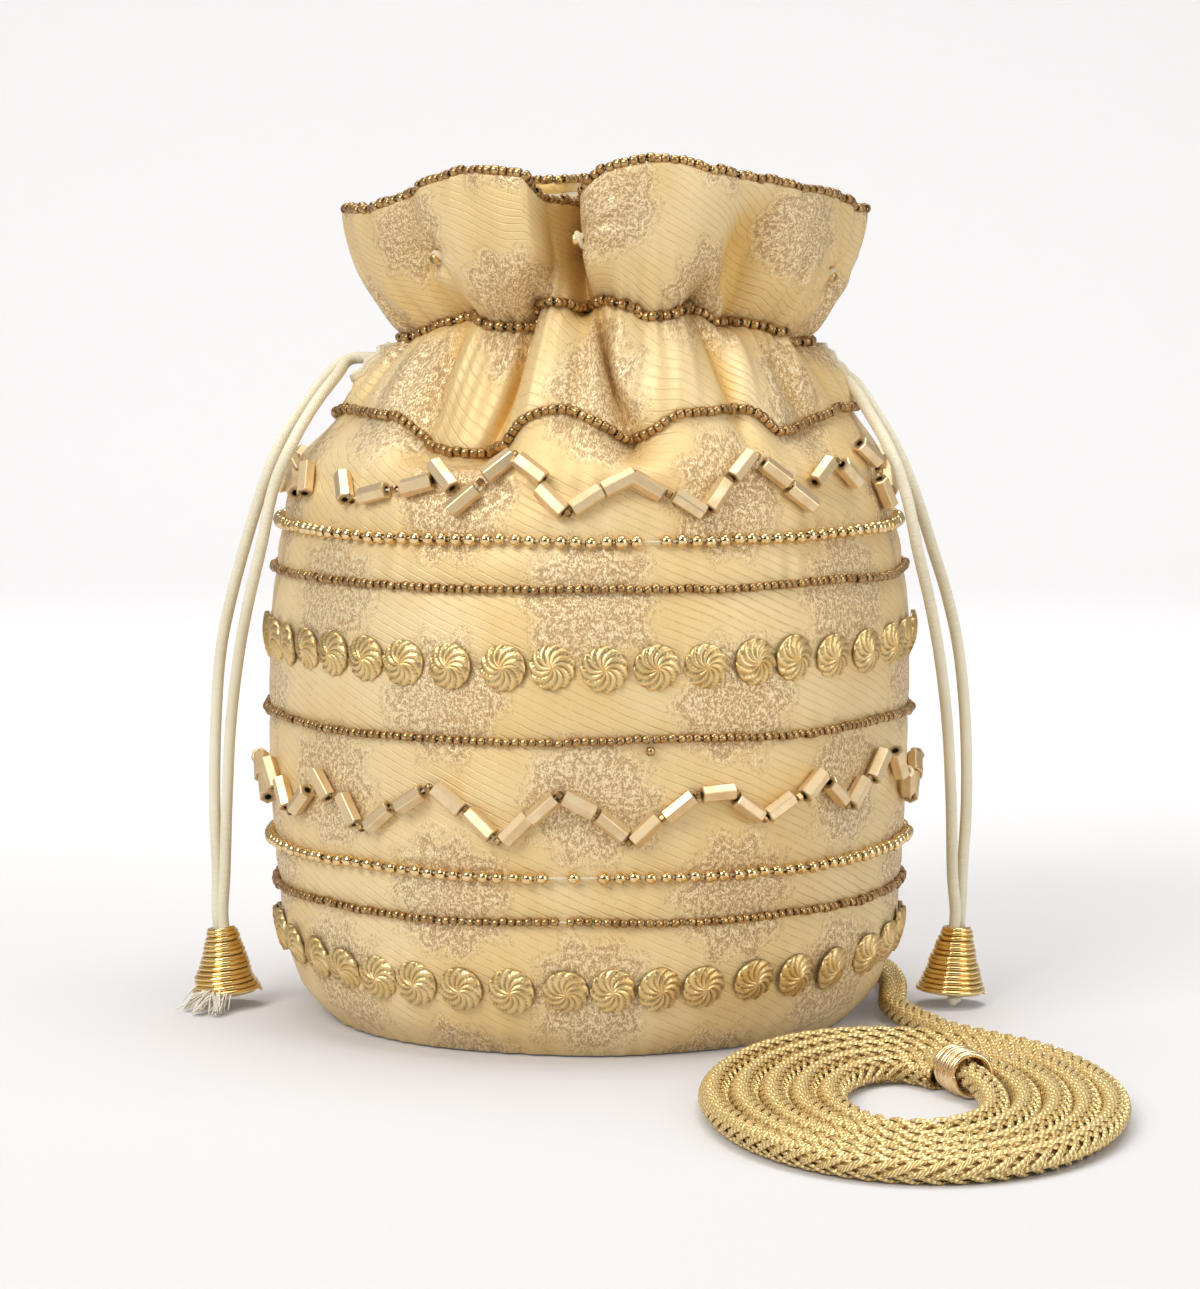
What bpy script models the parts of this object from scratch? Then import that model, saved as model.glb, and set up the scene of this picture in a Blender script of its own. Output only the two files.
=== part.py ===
"""A potli: a round drawstring pouch of gold brocade, sewn with rows of beads.

Two cords draw its neck shut and end in wound wire cones. A braided sling runs from the back of
the neck to the floor and lies coiled in front of the bag.

Metres, +Z up. The front faces -Y, and the origin is on the floor under the middle of the base.
An angle around the bag is in degrees, 0 at the front and 90 at the right, +X. A level along the
cloth is 0 at the base seam, 1 at the casing line, 2 at the neck line and 3 at the rim.
"""

import math

import bmesh
import bpy
import numpy as np
from mathutils import Matrix, Vector

MM = 0.001
GAP = 0.3 * MM
HALF_TURN = 180.0
SIDE_ANGLE = 90.0

# Outer cloth, from the base seam to the rim. Heights of the wall are shares of the casing line's
CASING_HEIGHT = 150.5 * MM
NECK_CLIMB = 17.5 * MM
NECK_RISE = 8.0 * MM
RUFFLE_HEIGHT = 30.4 * MM
SEAM_HEIGHT = 0.3 * MM
TURN_HEIGHT = 8.0 * MM
HIP_HEIGHT = 0.1595 * CASING_HEIGHT
BELLY_HEIGHT = 0.6113 * CASING_HEIGHT
SHOULDER_HEIGHT = 0.9103 * CASING_HEIGHT
NECK_HEIGHT = CASING_HEIGHT + NECK_CLIMB
RIM_HEIGHT = NECK_HEIGHT + RUFFLE_HEIGHT
BELLY_RADIUS = 80.0 * MM
BASE_RADIUS = 66.0 * MM
TURN_RADIUS = BASE_RADIUS + 7.0 * MM
HIP_RADIUS = BELLY_RADIUS - 2.6 * MM
SHOULDER_RADIUS = BELLY_RADIUS - 7.0 * MM
CASING_RADIUS = SHOULDER_RADIUS - 8.5 * MM
NECK_RADIUS = CASING_RADIUS - 14.0 * MM
RIM_RADIUS = NECK_RADIUS + 13.0 * MM
CLOTH_THICKNESS = 1.4 * MM
LINING_THICKNESS = 0.8 * MM
PUFF = 1.5 * MM

# Humps of the three wavy bead lines: angle, height in mm, width in degrees
CASING_WAVES = (
    (-33, -7.5, 17), (-8, 3.5, 10), (12, -5, 8), (32, 2.5, 14), (50, -4, 8),
    (112, -4, 14), (150, 2.5, 14), (186, -4, 12), (222, 2.5, 14), (252, -4, 12),
)
NECK_WAVES = ((-19, -3, 6),)
RIM_WAVES = ((-29, 8, 22), (20, 11, 26), (-8, -4, 7), (150, 6, 40), (222, 5, 34))

# Pleats of the shoulder: angle at the neck, angle at the casing line, depth in mm, width
PLEATS = (
    (-70, -72, 3, 6), (-46, -42, 4, 8), (-20, -24, 5, 4.5), (-8, -9, 2.5, 3.5), (0, 11, 6, 5),
    (35, 39, 3.5, 5), (42, 50, 4, 7), (68, 70, 3, 6), (108, 112, 5, 7), (140, 146, 3.5, 6),
    (165, 168, 4, 6), (188, 186, 5, 7), (212, 208, 3.5, 6), (238, 240, 4, 7),
)

# Folds of the ruffle: angle, depths in mm at the neck, halfway and the rim, widths each side
RUFFLE_FOLDS = (
    (-52, 3, 4, 2, 8, 8), (-8.5, 6, 20, 31, 8.5, 5.5), (39, 4, 8, 1, 9, 8),
    (106, 4, 8, 11, 8, 8), (136, 3, 6, 8, 8, 8), (165, 4, 8, 12, 9, 8),
    (194, 4, 9, 13, 8, 9), (225, 3, 6, 8, 8, 8), (256, 4, 8, 11, 8, 8),
)
RUFFLE_CURL = 1.8
PLEAT_STRENGTH = ((SHOULDER_HEIGHT / CASING_HEIGHT, 0), (1, 0.5), (1.5, 1), (2, 0.75), (2.35, 0))
FRONT_COLUMNS = 32
BACK_COLUMNS = 24
EXTRA_COLUMNS = ((-8.5, 2.2, 12), (12, 0.6, 16), (40, 0.6, 16))
LOW_WALL_HEIGHT = 0.3854 * CASING_HEIGHT
HIGH_WALL_HEIGHT = 0.804 * CASING_HEIGHT
WALL_HEIGHTS = (
    SEAM_HEIGHT, TURN_HEIGHT, HIP_HEIGHT, LOW_WALL_HEIGHT, BELLY_HEIGHT, HIGH_WALL_HEIGHT, SHOULDER_HEIGHT,
)
CHANNEL_LEVELS = (1.42, 1.87)
SHOULDER_LEVELS = (1, *CHANNEL_LEVELS, 2)
RUFFLE_LEVELS = (2.2, 2.5, 2.76, 3)

# Base
BASE_THICKNESS = 1.5 * MM
BASE_CLEARANCE = 2.2 * MM
BOARD_THICKNESS = 2.5 * MM
BOARD_MARGIN = 2.5 * MM
BASE_EDGE = 0.4 * MM
BASE_SIDES = 36

# Beads
SEED_DIAMETER = 2.1 * MM
LINE_BEAD_DIAMETER = 2.3 * MM
ROUND_DIAMETER = 2.8 * MM
TUBE_WIDTH = 3.7 * MM
TUBE_THICKNESS = 2.8 * MM
TUBE_CLEARANCE = 0.3 * MM
ROSETTE_DIAMETER = 10.8 * MM
ROSETTE_THICKNESS = 2.2 * MM
ROSETTE_EDGE = 1.0 * MM
ROSETTE_SHOULDER = 0.46
THREAD_WIDTH = 1.8 * MM
TACK_DIAMETER = 5.0 * MM
UPPER_ROUND_HEIGHT = 0.8173 * CASING_HEIGHT
LOWER_ROUND_HEIGHT = 0.299 * CASING_HEIGHT
UPPER_SEED_HEIGHT = 0.7442 * CASING_HEIGHT
MIDDLE_SEED_HEIGHT = 0.5116 * CASING_HEIGHT
LOWER_SEED_HEIGHT = 0.2259 * CASING_HEIGHT
UPPER_ROSETTE_HEIGHT = 0.6246 * CASING_HEIGHT
UPPER_ROSETTES = 42
LOWER_ROSETTE_HEIGHT = 0.1196 * CASING_HEIGHT
LOWER_ROSETTES = 43
UPPER_ZIGZAG_HEIGHT = 0.8937 * CASING_HEIGHT
UPPER_ZIGZAG_RISE = 7.0 * MM
UPPER_ZIGZAGS = 17
LOWER_ZIGZAG_HEIGHT = 0.3887 * CASING_HEIGHT
LOWER_ZIGZAG_RISE = 8.0 * MM
LOWER_ZIGZAGS = 16
TACKS = (("tack_bead_left", -47.0, 2.5), ("tack_bead_middle", -3.0, 2.62), ("tack_bead_right", 71.0, 2.5))

# Drawstrings
CORD_DIAMETER = 2.9 * MM
LOOP_RADIUS = NECK_RADIUS - 6.5 * MM
LOOP_DROP = 0.377 * NECK_CLIMB
LOOP_RISE = 5.0 * MM
LOOP_CLEARANCE = 0.7 * MM
LOOP_SPACING = 3.3 * MM
SLOT_HALF_ANGLE = 7.0

# Wire cones
CONE_DISTANCE = BELLY_RADIUS + 11.6 * MM
CONE_BOTTOM = 3.0 * MM
CONE_HEIGHT = 17.2 * MM
CONE_TOP_RADIUS = 3.9 * MM
CONE_BOTTOM_RADIUS = 9.4 * MM
CONE_TURNS = 8
CONE_GROOVE = 0.35 * MM
CONE_WALL = 0.6 * MM
CONE_LEAN = 4.0
CONE_SIDES = 16
KNOT_HEIGHT = 7.0 * MM
KNOT_CLEARANCE = 0.6 * MM
KNOT_LIFT = 0.25 * MM
KNOT_SHOULDER = 1.3 * MM
KNOT_SIDES = 12

# Sling
SLING_DIAMETER = 6.4 * MM
SLING_LIFT = 3.3 * MM
COIL_CENTRE = (0.88125 * BELLY_RADIUS, -1.6 * BELLY_RADIUS)
COIL_HALF_WIDTH = 50.5 * MM
COIL_HALF_LENGTH = 73.0 * MM
HOLE_HALF_WIDTH = 14.0 * MM
HOLE_HALF_LENGTH = 28.5 * MM
COIL_LIFT = 0.05 * MM
COIL_EASE = 1.8 * MM
COIL_SIDES = 44
COLLAR_DIAMETER = 10.5 * MM
COLLAR_BORE = 7.2 * MM
COLLAR_LENGTH = 11.0 * MM
COLLAR_ANGLE = 35.0
COLLAR_SPAN = 30.0
COLLAR_EASE = 0.5 * MM
COLLAR_SIDES = 18

# Where the drawstrings come out of their slots, and the routes of the free cords from there in mm,
# drawn for a belly and a neck line of the sizes in ROUTE_FIT and stretched to the bag's own
ROUTE_FIT = (80.0 * MM, 168.0 * MM)
STRAND_EXIT = LOOP_RADIUS + 12.0 * MM
STRAND_LEAD = 3.0 * MM
STRAND_SPREAD = 1.75 * MM
STRAND_STEP = 9.5 * MM
LOOP_STEP = 11.0 * MM
LOOP_START = 10.0
LOOP_POINTS = 30
SLING_STEP = 13.0 * MM
CURVE_SAMPLES = 12
PAIR_OFFSET = (0.8 * MM, 1.32 * MM)
PAIR_ABOVE_CONE = 4.0 * MM
PAIR_IN_CONE = 2.0 * MM
STRAND_ROUTES = {
    "left_outer": (
        (-63.5, -0.5, 160.4), (-69.7, -4, 153), (-75.5, -8, 144), (-80.2, -9.5, 133), (-85, -8.5, 118),
        (-89, -6, 104), (-92, -3.5, 90), (-93.6, -1, 72), (-94.2, 0.5, 52), (-93.8, 1.4, 34),
    ),
    "left_inner": (
        (-62.3, -8.2, 159.2), (-67.9, -15.5, 151.5), (-72.8, -22, 142.5), (-77, -23, 132.5),
        (-80.2, -22.5, 118), (-83.8, -18, 104), (-86.8, -12.5, 90), (-89.4, -7, 72), (-90.8, -3.6, 52),
        (-91.6, -2, 34),
    ),
    "right_outer": (
        (65.6, -0.5, 157.8), (70.8, -4, 150.4), (75.8, -8, 141.7), (80.4, -9.5, 131), (85, -8.5, 117),
        (89.2, -6, 104), (92.4, -3.5, 90), (94.4, -1, 72), (95, 0.5, 52), (94.2, 1.4, 34),
    ),
    "right_inner": (
        (64.6, -7.6, 157), (68.8, -15.5, 150.2), (73.6, -22.7, 141.2), (77.5, -23.2, 130.5),
        (80.4, -22.5, 117), (83.8, -18, 104), (86.8, -12.5, 90), (89.4, -7, 72), (90.8, -3.6, 52),
        (91.4, -2, 34),
    ),
}
SLING_ROUTE = (
    (0, 59.8, 160.8), (0, 64.2, 163), (0, 69, 162), (0, 73, 157.5), (0, 77.4, 148.5), (0, 81.2, 138.5),
    (0, 84.2, 126), (0, 86, 112), (0, 86.7, 94), (0, 86.7, 76), (0, 86.6, 58), (0.4, 86, 42), (1.6, 85, 28),
    (4.2, 85.2, 17), (9.5, 86.8, 8.5), (18, 88.5, 4.4), (30, 87, 3.3), (44, 80, 3.3), (58, 68.5, 3.3),
    (69.5, 52.5, 3.3), (76, 34, 3.3), (77.6, 14, 3.3), (76.4, -4, 3.3), (75.6, -18, 3.3),
)
# The end of the sling's run, from the centre of its coil
SLING_LANDING = ((7.7, 96), (11.9, 83.5), (16.6, 72.1))


def clear_scene():
    for thing in list(bpy.data.objects):
        bpy.data.objects.remove(thing)


def finish_of(name, colour, roughness, metallic):
    """A plain Principled material."""
    material = bpy.data.materials.new(name)
    material.use_nodes = True
    shader = material.node_tree.nodes["Principled BSDF"]
    shader.inputs["Base Color"].default_value = (*colour, 1)
    shader.inputs["Roughness"].default_value = roughness
    shader.inputs["Metallic"].default_value = metallic
    return material


def make_finishes():
    return {
        "brocade": finish_of("brocade", (0.80, 0.62, 0.33), 0.45, 0.2),
        "lining": finish_of("lining", (0.86, 0.78, 0.62), 0.8, 0.0),
        "board": finish_of("board", (0.55, 0.48, 0.38), 0.9, 0.0),
        "bronze": finish_of("bronze", (0.42, 0.26, 0.10), 0.3, 0.8),
        "gold": finish_of("gold", (0.85, 0.62, 0.26), 0.2, 1.0),
        "antique_gold": finish_of("antique_gold", (0.66, 0.46, 0.19), 0.4, 0.9),
        "satin_gold": finish_of("satin_gold", (0.72, 0.58, 0.36), 0.35, 0.9),
        "copper": finish_of("copper", (0.80, 0.52, 0.33), 0.35, 0.9),
        "cord": finish_of("cord", (0.82, 0.76, 0.60), 0.8, 0.0),
        "braid": finish_of("braid", (0.62, 0.46, 0.17), 0.4, 0.7),
    }


def curve_through(at, places, values):
    """A smooth curve through the points that never overshoots them, read at the given places."""
    places, values, at = (np.asarray(row, float) for row in (places, values, at))
    step = np.diff(places)
    slope = np.diff(values) / step
    before, after = slope[:-1], slope[1:]
    total = np.where(before + after == 0, 1, before + after)
    inner = np.where(before * after > 0, 2 * before * after / total, 0)
    tangent = np.concatenate([slope[:1], inner, slope[-1:]])
    i = np.clip(np.searchsorted(places, at, side="right") - 1, 0, len(step) - 1)
    t = (at - places[i]) / step[i]
    rise = values[i] * (1 + 2 * t) * (1 - t) ** 2 + values[i + 1] * t**2 * (3 - 2 * t)
    return rise + step[i] * (tangent[i] * t * (1 - t) ** 2 + tangent[i + 1] * t**2 * (t - 1))


def apart(turn, centre):
    """Signed angle from the centre to each turn, between -180 and 180."""
    return (turn - centre + HALF_TURN) % (2 * HALF_TURN) - HALF_TURN


def bell(offset, width):
    return np.exp(-((offset / width) ** 2))


def waves(turn, humps):
    return MM * sum(height * bell(apart(turn, at), width) for at, height, width in humps)


def casing_height(turn):
    return CASING_HEIGHT + waves(turn, CASING_WAVES)


def neck_height(turn):
    return NECK_HEIGHT + NECK_RISE * np.cos(np.radians(turn)) ** 2 + waves(turn, NECK_WAVES)


def rim_height(turn):
    return RIM_HEIGHT + waves(turn, RIM_WAVES)


def wall_radius(height):
    """Radius of the plain wall below the casing line."""
    return curve_through(
        height,
        (SEAM_HEIGHT, TURN_HEIGHT, HIP_HEIGHT, BELLY_HEIGHT, SHOULDER_HEIGHT, CASING_HEIGHT),
        (BASE_RADIUS, TURN_RADIUS, HIP_RADIUS, BELLY_RADIUS, SHOULDER_RADIUS, CASING_RADIUS),
    )


def level_at(height):
    """Level of a height on the plain wall."""
    return (height - SEAM_HEIGHT) / (CASING_HEIGHT - SEAM_HEIGHT)


def cloth_height(turn, level):
    if level <= 1:
        plain = SEAM_HEIGHT + level * (CASING_HEIGHT - SEAM_HEIGHT)
        pleats_start = level_at(SHOULDER_HEIGHT)
        share = max(0, (level - pleats_start) / (1 - pleats_start))
        return plain + share * (casing_height(turn) - CASING_HEIGHT)
    if level <= 2:
        low, high = casing_height(turn), neck_height(turn)
        return low + (level - 1) * (high - low)
    low, high = neck_height(turn), rim_height(turn)
    return low + (level - 2) * (high - low)


def plain_radius(level):
    """Radius of the cloth before it is gathered."""
    if level <= 1:
        return wall_radius(SEAM_HEIGHT + level * (CASING_HEIGHT - SEAM_HEIGHT))
    if level <= 2:
        climb = level - 1
        return CASING_RADIUS + climb * (NECK_RADIUS - CASING_RADIUS) + PUFF * math.sin(math.pi * climb)
    return NECK_RADIUS + (RIM_RADIUS - NECK_RADIUS) * (1 - (3 - level) ** RUFFLE_CURL)


def pleat_depth(turn, level):
    """How far the shoulder's pleats pull the cloth in."""
    strength = np.interp(level, *zip(*PLEAT_STRENGTH, strict=True))
    climb = min(max(level - 1, 0), 1)
    total = 0
    for at_neck, at_casing, depth, width in PLEATS:
        centre = at_casing + climb * (at_neck - at_casing)
        total = total + depth * bell(apart(turn, centre), width)
    return MM * strength * total


def fold_depth(turn, level):
    """How far the ruffle's folds pull the cloth in."""
    start = CHANNEL_LEVELS[1]
    if level <= start:
        return 0 * turn
    total = 0
    for at, low, middle, high, left, right in RUFFLE_FOLDS:
        depth = np.interp(level, (start, 2, 2.5, 3), (0, low, middle, high))
        offset = apart(turn, at)
        total = total + depth * bell(offset, np.where(offset < 0, left, right))
    return MM * total


def around(turn, radius, height):
    angle = np.radians(turn)
    return np.stack([radius * np.sin(angle), -radius * np.cos(angle), height + 0 * angle], axis=-1)


def cloth_row(turn, level):
    radius = plain_radius(level) - pleat_depth(turn, level) - fold_depth(turn, level)
    return around(turn, radius, cloth_height(turn, level))


def half_turn(first, count):
    """Angles over half a turn, closer together where EXTRA_COLUMNS asks for it."""
    fine = np.linspace(first, first + HALF_TURN, 721)
    density = 1 + sum(more * bell(apart(fine, at), width) for at, more, width in EXTRA_COLUMNS)
    reached = np.concatenate([[0], np.cumsum((density[1:] + density[:-1]) / 2)])
    return np.interp(np.linspace(0, reached[-1], count, endpoint=False), reached, fine)


def column_angles():
    return np.concatenate([half_turn(-SIDE_ANGLE, FRONT_COLUMNS), half_turn(SIDE_ANGLE, BACK_COLUMNS)])


def unit(vectors):
    return vectors / np.linalg.norm(vectors, axis=-1, keepdims=True)


def grid_normals(grid):
    """Outward normals of a grid of rows that each go round the bag."""
    along = np.roll(grid, -1, axis=1) - np.roll(grid, 1, axis=1)
    up = np.empty_like(grid)
    up[1:-1] = unit(grid[2:] - grid[1:-1]) + unit(grid[1:-1] - grid[:-2])
    up[0], up[-1] = grid[1] - grid[0], grid[-1] - grid[-2]
    return unit(np.cross(along, up))


def ring_faces(first, second, count, flip=False):
    """Quads between two rings of vertices that start at the given indices."""
    faces = []
    for i in range(count):
        j = (i + 1) % count
        face = (first + i, first + j, second + j, second + i)
        faces.append(face[::-1] if flip else face)
    return faces


def add_object(name, points, faces, finish, smooth_angle=40):
    mesh = bpy.data.meshes.new(name)
    mesh.from_pydata([tuple(map(float, point)) for point in points], [], faces)
    shaped = bmesh.new()
    shaped.from_mesh(mesh)
    bmesh.ops.recalc_face_normals(shaped, faces=shaped.faces)
    shaped.to_mesh(mesh)
    shaped.free()
    mesh.shade_smooth()
    mesh.set_sharp_from_angle(angle=math.radians(smooth_angle))
    mesh.materials.append(finish)
    thing = bpy.data.objects.new(name, mesh)
    bpy.context.scene.collection.objects.link(thing)
    return thing


def add_shell(name, outer, inner, finish, closed_floor=False, windows=()):
    """A wall between two grids, open at the rim, with windows as (row, column) cells left out."""
    rows, count = outer.shape[:2]
    below = rows * count
    faces = []
    for row in range(rows - 1):
        for column in range(count):
            if (row, column) in windows:
                continue
            a, b = row * count + column, row * count + (column + 1) % count
            faces.append((a, b, b + count, a + count))
            faces.append((below + a, below + a + count, below + b + count, below + b))
    for row, column in windows:
        a, b = row * count + column, row * count + (column + 1) % count
        sides = {(row - 1, column): (a, b), (row + 1, column): (b + count, a + count)}
        sides[(row, (column - 1) % count)] = (a + count, a)
        sides[(row, (column + 1) % count)] = (b, b + count)
        faces += [(p, q, below + q, below + p) for side, (p, q) in sides.items() if side not in windows]
    top = (rows - 1) * count
    faces += ring_faces(top, below + top, count)
    if closed_floor:
        faces += [tuple(range(count))[::-1], tuple(range(below, below + count))]
    else:
        faces += ring_faces(0, below, count, flip=True)
    return add_object(name, np.concatenate([outer.reshape(-1, 3), inner.reshape(-1, 3)]), faces, finish)


def cloth_levels():
    wall = tuple(float(level_at(height)) for height in WALL_HEIGHTS)
    return (*wall, *SHOULDER_LEVELS, *RUFFLE_LEVELS)


def lining_skips():
    """Levels of the side panel that the lining goes past in one straight run."""
    heights = (SEAM_HEIGHT, TURN_HEIGHT, LOW_WALL_HEIGHT, HIGH_WALL_HEIGHT)
    return [float(level_at(height)) for height in heights]


def make_cloth(turn, finish):
    """The side panel, with a slot at each side where a drawstring comes out."""
    levels = cloth_levels()
    outer = np.stack([cloth_row(turn, level) for level in levels])
    inner = outer - CLOTH_THICKNESS * grid_normals(outer)
    row = levels.index(CHANNEL_LEVELS[0])
    middle = apart(turn + apart(np.roll(turn, -1), turn) / 2, 0)
    from_side = np.abs(np.abs(middle) - SIDE_ANGLE)
    windows = {(row, int(i)) for i in np.flatnonzero(from_side < SLOT_HALF_ANGLE)}
    add_shell("side_panel", outer, inner, finish, windows=windows)
    return levels, outer


def make_lining(turn, levels, cloth, finish):
    """The lining follows the side panel, but is a plain sleeve where the drawstrings lie round it."""
    followed = cloth - (CLOTH_THICKNESS + GAP) * grid_normals(cloth)
    kept = [row for row, level in enumerate(levels) if level not in lining_skips()]
    outer = followed[kept]
    sleeve = LOOP_RADIUS - CORD_DIAMETER / 2 - LOOP_CLEARANCE
    for row, level in enumerate(levels[row] for row in kept):
        if level in CHANNEL_LEVELS:
            outer[row] = around(turn, sleeve, cloth_height(turn, level))
    floor_height = BASE_THICKNESS + BOARD_THICKNESS + 2 * GAP
    floor_radius = base_radius() - BOARD_MARGIN
    outer = np.concatenate([around(turn, floor_radius, floor_height)[None], outer])
    inner = outer - LINING_THICKNESS * grid_normals(outer)
    inner[0] = around(turn, floor_radius - LINING_THICKNESS, floor_height + LINING_THICKNESS)
    add_shell("lining", outer, inner, finish, closed_floor=True)


def base_radius():
    return BASE_RADIUS - BASE_CLEARANCE


def turned(name, profile, sides, finish, closed=True):
    """A solid of revolution about Z from a profile of (radius, height) points that runs round it."""
    turn = np.arange(sides) * 360 / sides
    points = np.concatenate([around(turn, r, z) for r, z in profile])
    last = (len(profile) - 1) * sides
    faces = []
    for row in range(len(profile) - 1):
        faces += ring_faces(row * sides, (row + 1) * sides, sides)
    if closed:
        faces += ring_faces(last, 0, sides)
    else:
        faces += [tuple(range(sides))[::-1], tuple(range(last, last + sides))]
    return add_object(name, points, faces, finish)


def make_disc(name, radius, low, thickness, finish):
    """A flat disc with its edges eased."""
    high, inner = low + thickness, radius - BASE_EDGE
    profile = ((inner, low), (radius, low + BASE_EDGE), (radius, high - BASE_EDGE), (inner, high))
    turned(name, profile, BASE_SIDES, finish, closed=False)


def make_base(finishes):
    make_disc("base_panel", base_radius(), 0, BASE_THICKNESS, finishes["brocade"])
    low = BASE_THICKNESS + GAP
    make_disc("base_board", base_radius() - BOARD_MARGIN, low, BOARD_THICKNESS, finishes["board"])


def add_band(name, sections, finish):
    """A closed band around the bag from one array of section corners, shaped corners x stations x 3."""
    corners, count = sections.shape[:2]
    faces = []
    for corner in range(corners):
        faces += ring_faces(corner * count, (corner + 1) % corners * count, count)
    return add_object(name, sections.reshape(-1, 3), faces, finish)


def add_line_beads(name, levels, cloth, level, finish):
    """A string of small beads along one level of the cloth, as a band that fills its outline."""
    row = levels.index(level)
    radius = LINE_BEAD_DIAMETER / 2
    normal = grid_normals(cloth)[row]
    up = unit(cloth[row] - cloth[row - 1])
    if row == len(levels) - 1:
        centre = cloth[row] - normal * CLOTH_THICKNESS / 2 + up * (radius + GAP)
    else:
        above = unit(cloth[row + 1] - cloth[row])
        up = unit(above + up)
        half_bend = np.sum(above * up, axis=-1, keepdims=True)
        centre = cloth[row] + normal * (radius + GAP) / half_bend
    corners = [centre + radius * way for way in (-normal, -up, normal, up)]
    return add_band(name, np.stack(corners), finish)


def wall_frame(turn, height):
    """Points on the faces of the wall at a height, with their outward and upward directions."""
    rows = np.array([*WALL_HEIGHTS, CASING_HEIGHT])
    radii = wall_radius(rows)
    i = int(np.clip(np.searchsorted(rows, np.mean(height)) - 1, 0, len(rows) - 2))
    slope = (radii[i + 1] - radii[i]) / (rows[i + 1] - rows[i])
    radius = np.interp(height, rows, radii)
    out = unit(around(turn, 1.0, -slope))
    up = unit(around(turn, slope, 1.0))
    return around(turn, radius, height), out, up


def add_seed_row(name, turn, height, diameter, finish):
    """A string of small beads along a height of the wall, as a band with a ridge."""
    at, out, up = wall_frame(turn, height)
    half = diameter / 2 * up
    back = at + GAP * out
    return add_band(name, np.stack([back - half, at + (GAP + diameter) * out, back + half]), finish)


def add_rosettes(name, height, count, finish):
    """A row of round buttons on a thread: each one an eight-sided domed disc."""
    reach = np.degrees(ROSETTE_DIAMETER / 2 / wall_radius(height))
    stations = np.array([-1, -ROSETTE_SHOULDER, ROSETTE_SHOULDER, 1]) * reach
    turn = (np.arange(count)[:, None] * 360 / count + stations).ravel()
    half = np.array([THREAD_WIDTH, ROSETTE_DIAMETER, ROSETTE_DIAMETER, THREAD_WIDTH]) / 2
    thick = np.array([ROSETTE_EDGE, ROSETTE_THICKNESS, ROSETTE_THICKNESS, ROSETTE_EDGE])
    half, thick = (np.tile(row, count)[:, None] for row in (half, thick))
    at, out, up = wall_frame(turn, height)
    back = at + GAP * out
    corners = (back - half * up, back + thick * out, back + half * up)
    return add_band(name, np.stack(corners), finish)


def add_zigzag(name, height, rise, periods, finish):
    """Tube beads end to end in a zigzag, two to each slope."""
    stations = periods * 4
    turn = np.arange(stations) * 360 / stations
    lift = rise / 2 * np.tile([-1, 0, 1, 0], periods)
    slope = math.atan2(rise, 2 * math.pi * wall_radius(height) / periods / 2)
    half = TUBE_WIDTH / 2 / math.cos(slope)
    at, out, up = wall_frame(turn, height + lift)
    back = at + (GAP + TUBE_CLEARANCE) * out
    front = back + TUBE_THICKNESS * out
    corners = (back - half * up, front - half / 2 * up, front + half / 2 * up, back + half * up)
    return add_band(name, np.stack(corners), finish)


def make_beads(turn, levels, cloth, finishes):
    add_line_beads("rim_beads", levels, cloth, RUFFLE_LEVELS[-1], finishes["bronze"])
    add_line_beads("neck_beads", levels, cloth, SHOULDER_LEVELS[-1], finishes["bronze"])
    add_line_beads("casing_beads", levels, cloth, SHOULDER_LEVELS[0], finishes["bronze"])
    bronze, gold = finishes["bronze"], finishes["gold"]
    add_seed_row("seed_beads_upper", turn, UPPER_SEED_HEIGHT, SEED_DIAMETER, bronze)
    add_seed_row("seed_beads_middle", turn, MIDDLE_SEED_HEIGHT, SEED_DIAMETER, bronze)
    add_seed_row("seed_beads_lower", turn, LOWER_SEED_HEIGHT, SEED_DIAMETER, bronze)
    add_seed_row("round_beads_upper", turn, UPPER_ROUND_HEIGHT, ROUND_DIAMETER, gold)
    add_seed_row("round_beads_lower", turn, LOWER_ROUND_HEIGHT, ROUND_DIAMETER, gold)
    antique, satin = finishes["antique_gold"], finishes["satin_gold"]
    add_rosettes("rosettes_upper", UPPER_ROSETTE_HEIGHT, UPPER_ROSETTES, antique)
    add_rosettes("rosettes_lower", LOWER_ROSETTE_HEIGHT, LOWER_ROSETTES, antique)
    add_zigzag("tube_beads_upper", UPPER_ZIGZAG_HEIGHT, UPPER_ZIGZAG_RISE, UPPER_ZIGZAGS, satin)
    add_zigzag("tube_beads_lower", LOWER_ZIGZAG_HEIGHT, LOWER_ZIGZAG_RISE, LOWER_ZIGZAGS, satin)


def make_tacks(turn, levels, cloth, finish):
    """Small beads that tack the ruffle's two layers together, each standing on the cloth."""
    normals = grid_normals(cloth)
    for name, angle, level in TACKS:
        row = int(np.argmin(np.abs(np.array(levels) - level)))
        column = int(np.argmin(np.abs(apart(turn, angle))))
        shaped = bmesh.new()
        bmesh.ops.create_icosphere(shaped, subdivisions=1, radius=TACK_DIAMETER / 2)
        mesh = bpy.data.meshes.new(name)
        shaped.to_mesh(mesh)
        shaped.free()
        mesh.materials.append(finish)
        bead = bpy.data.objects.new(name, mesh)
        bpy.context.scene.collection.objects.link(bead)
        out = Vector(normals[row, column])
        bead.location = Vector(cloth[row, column]) + out * (TACK_DIAMETER / 4 + 2 * GAP)
        bead.rotation_euler = out.to_track_quat("Z", "Y").to_euler()
        bead.scale = (1, 1, 0.5)


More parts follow.
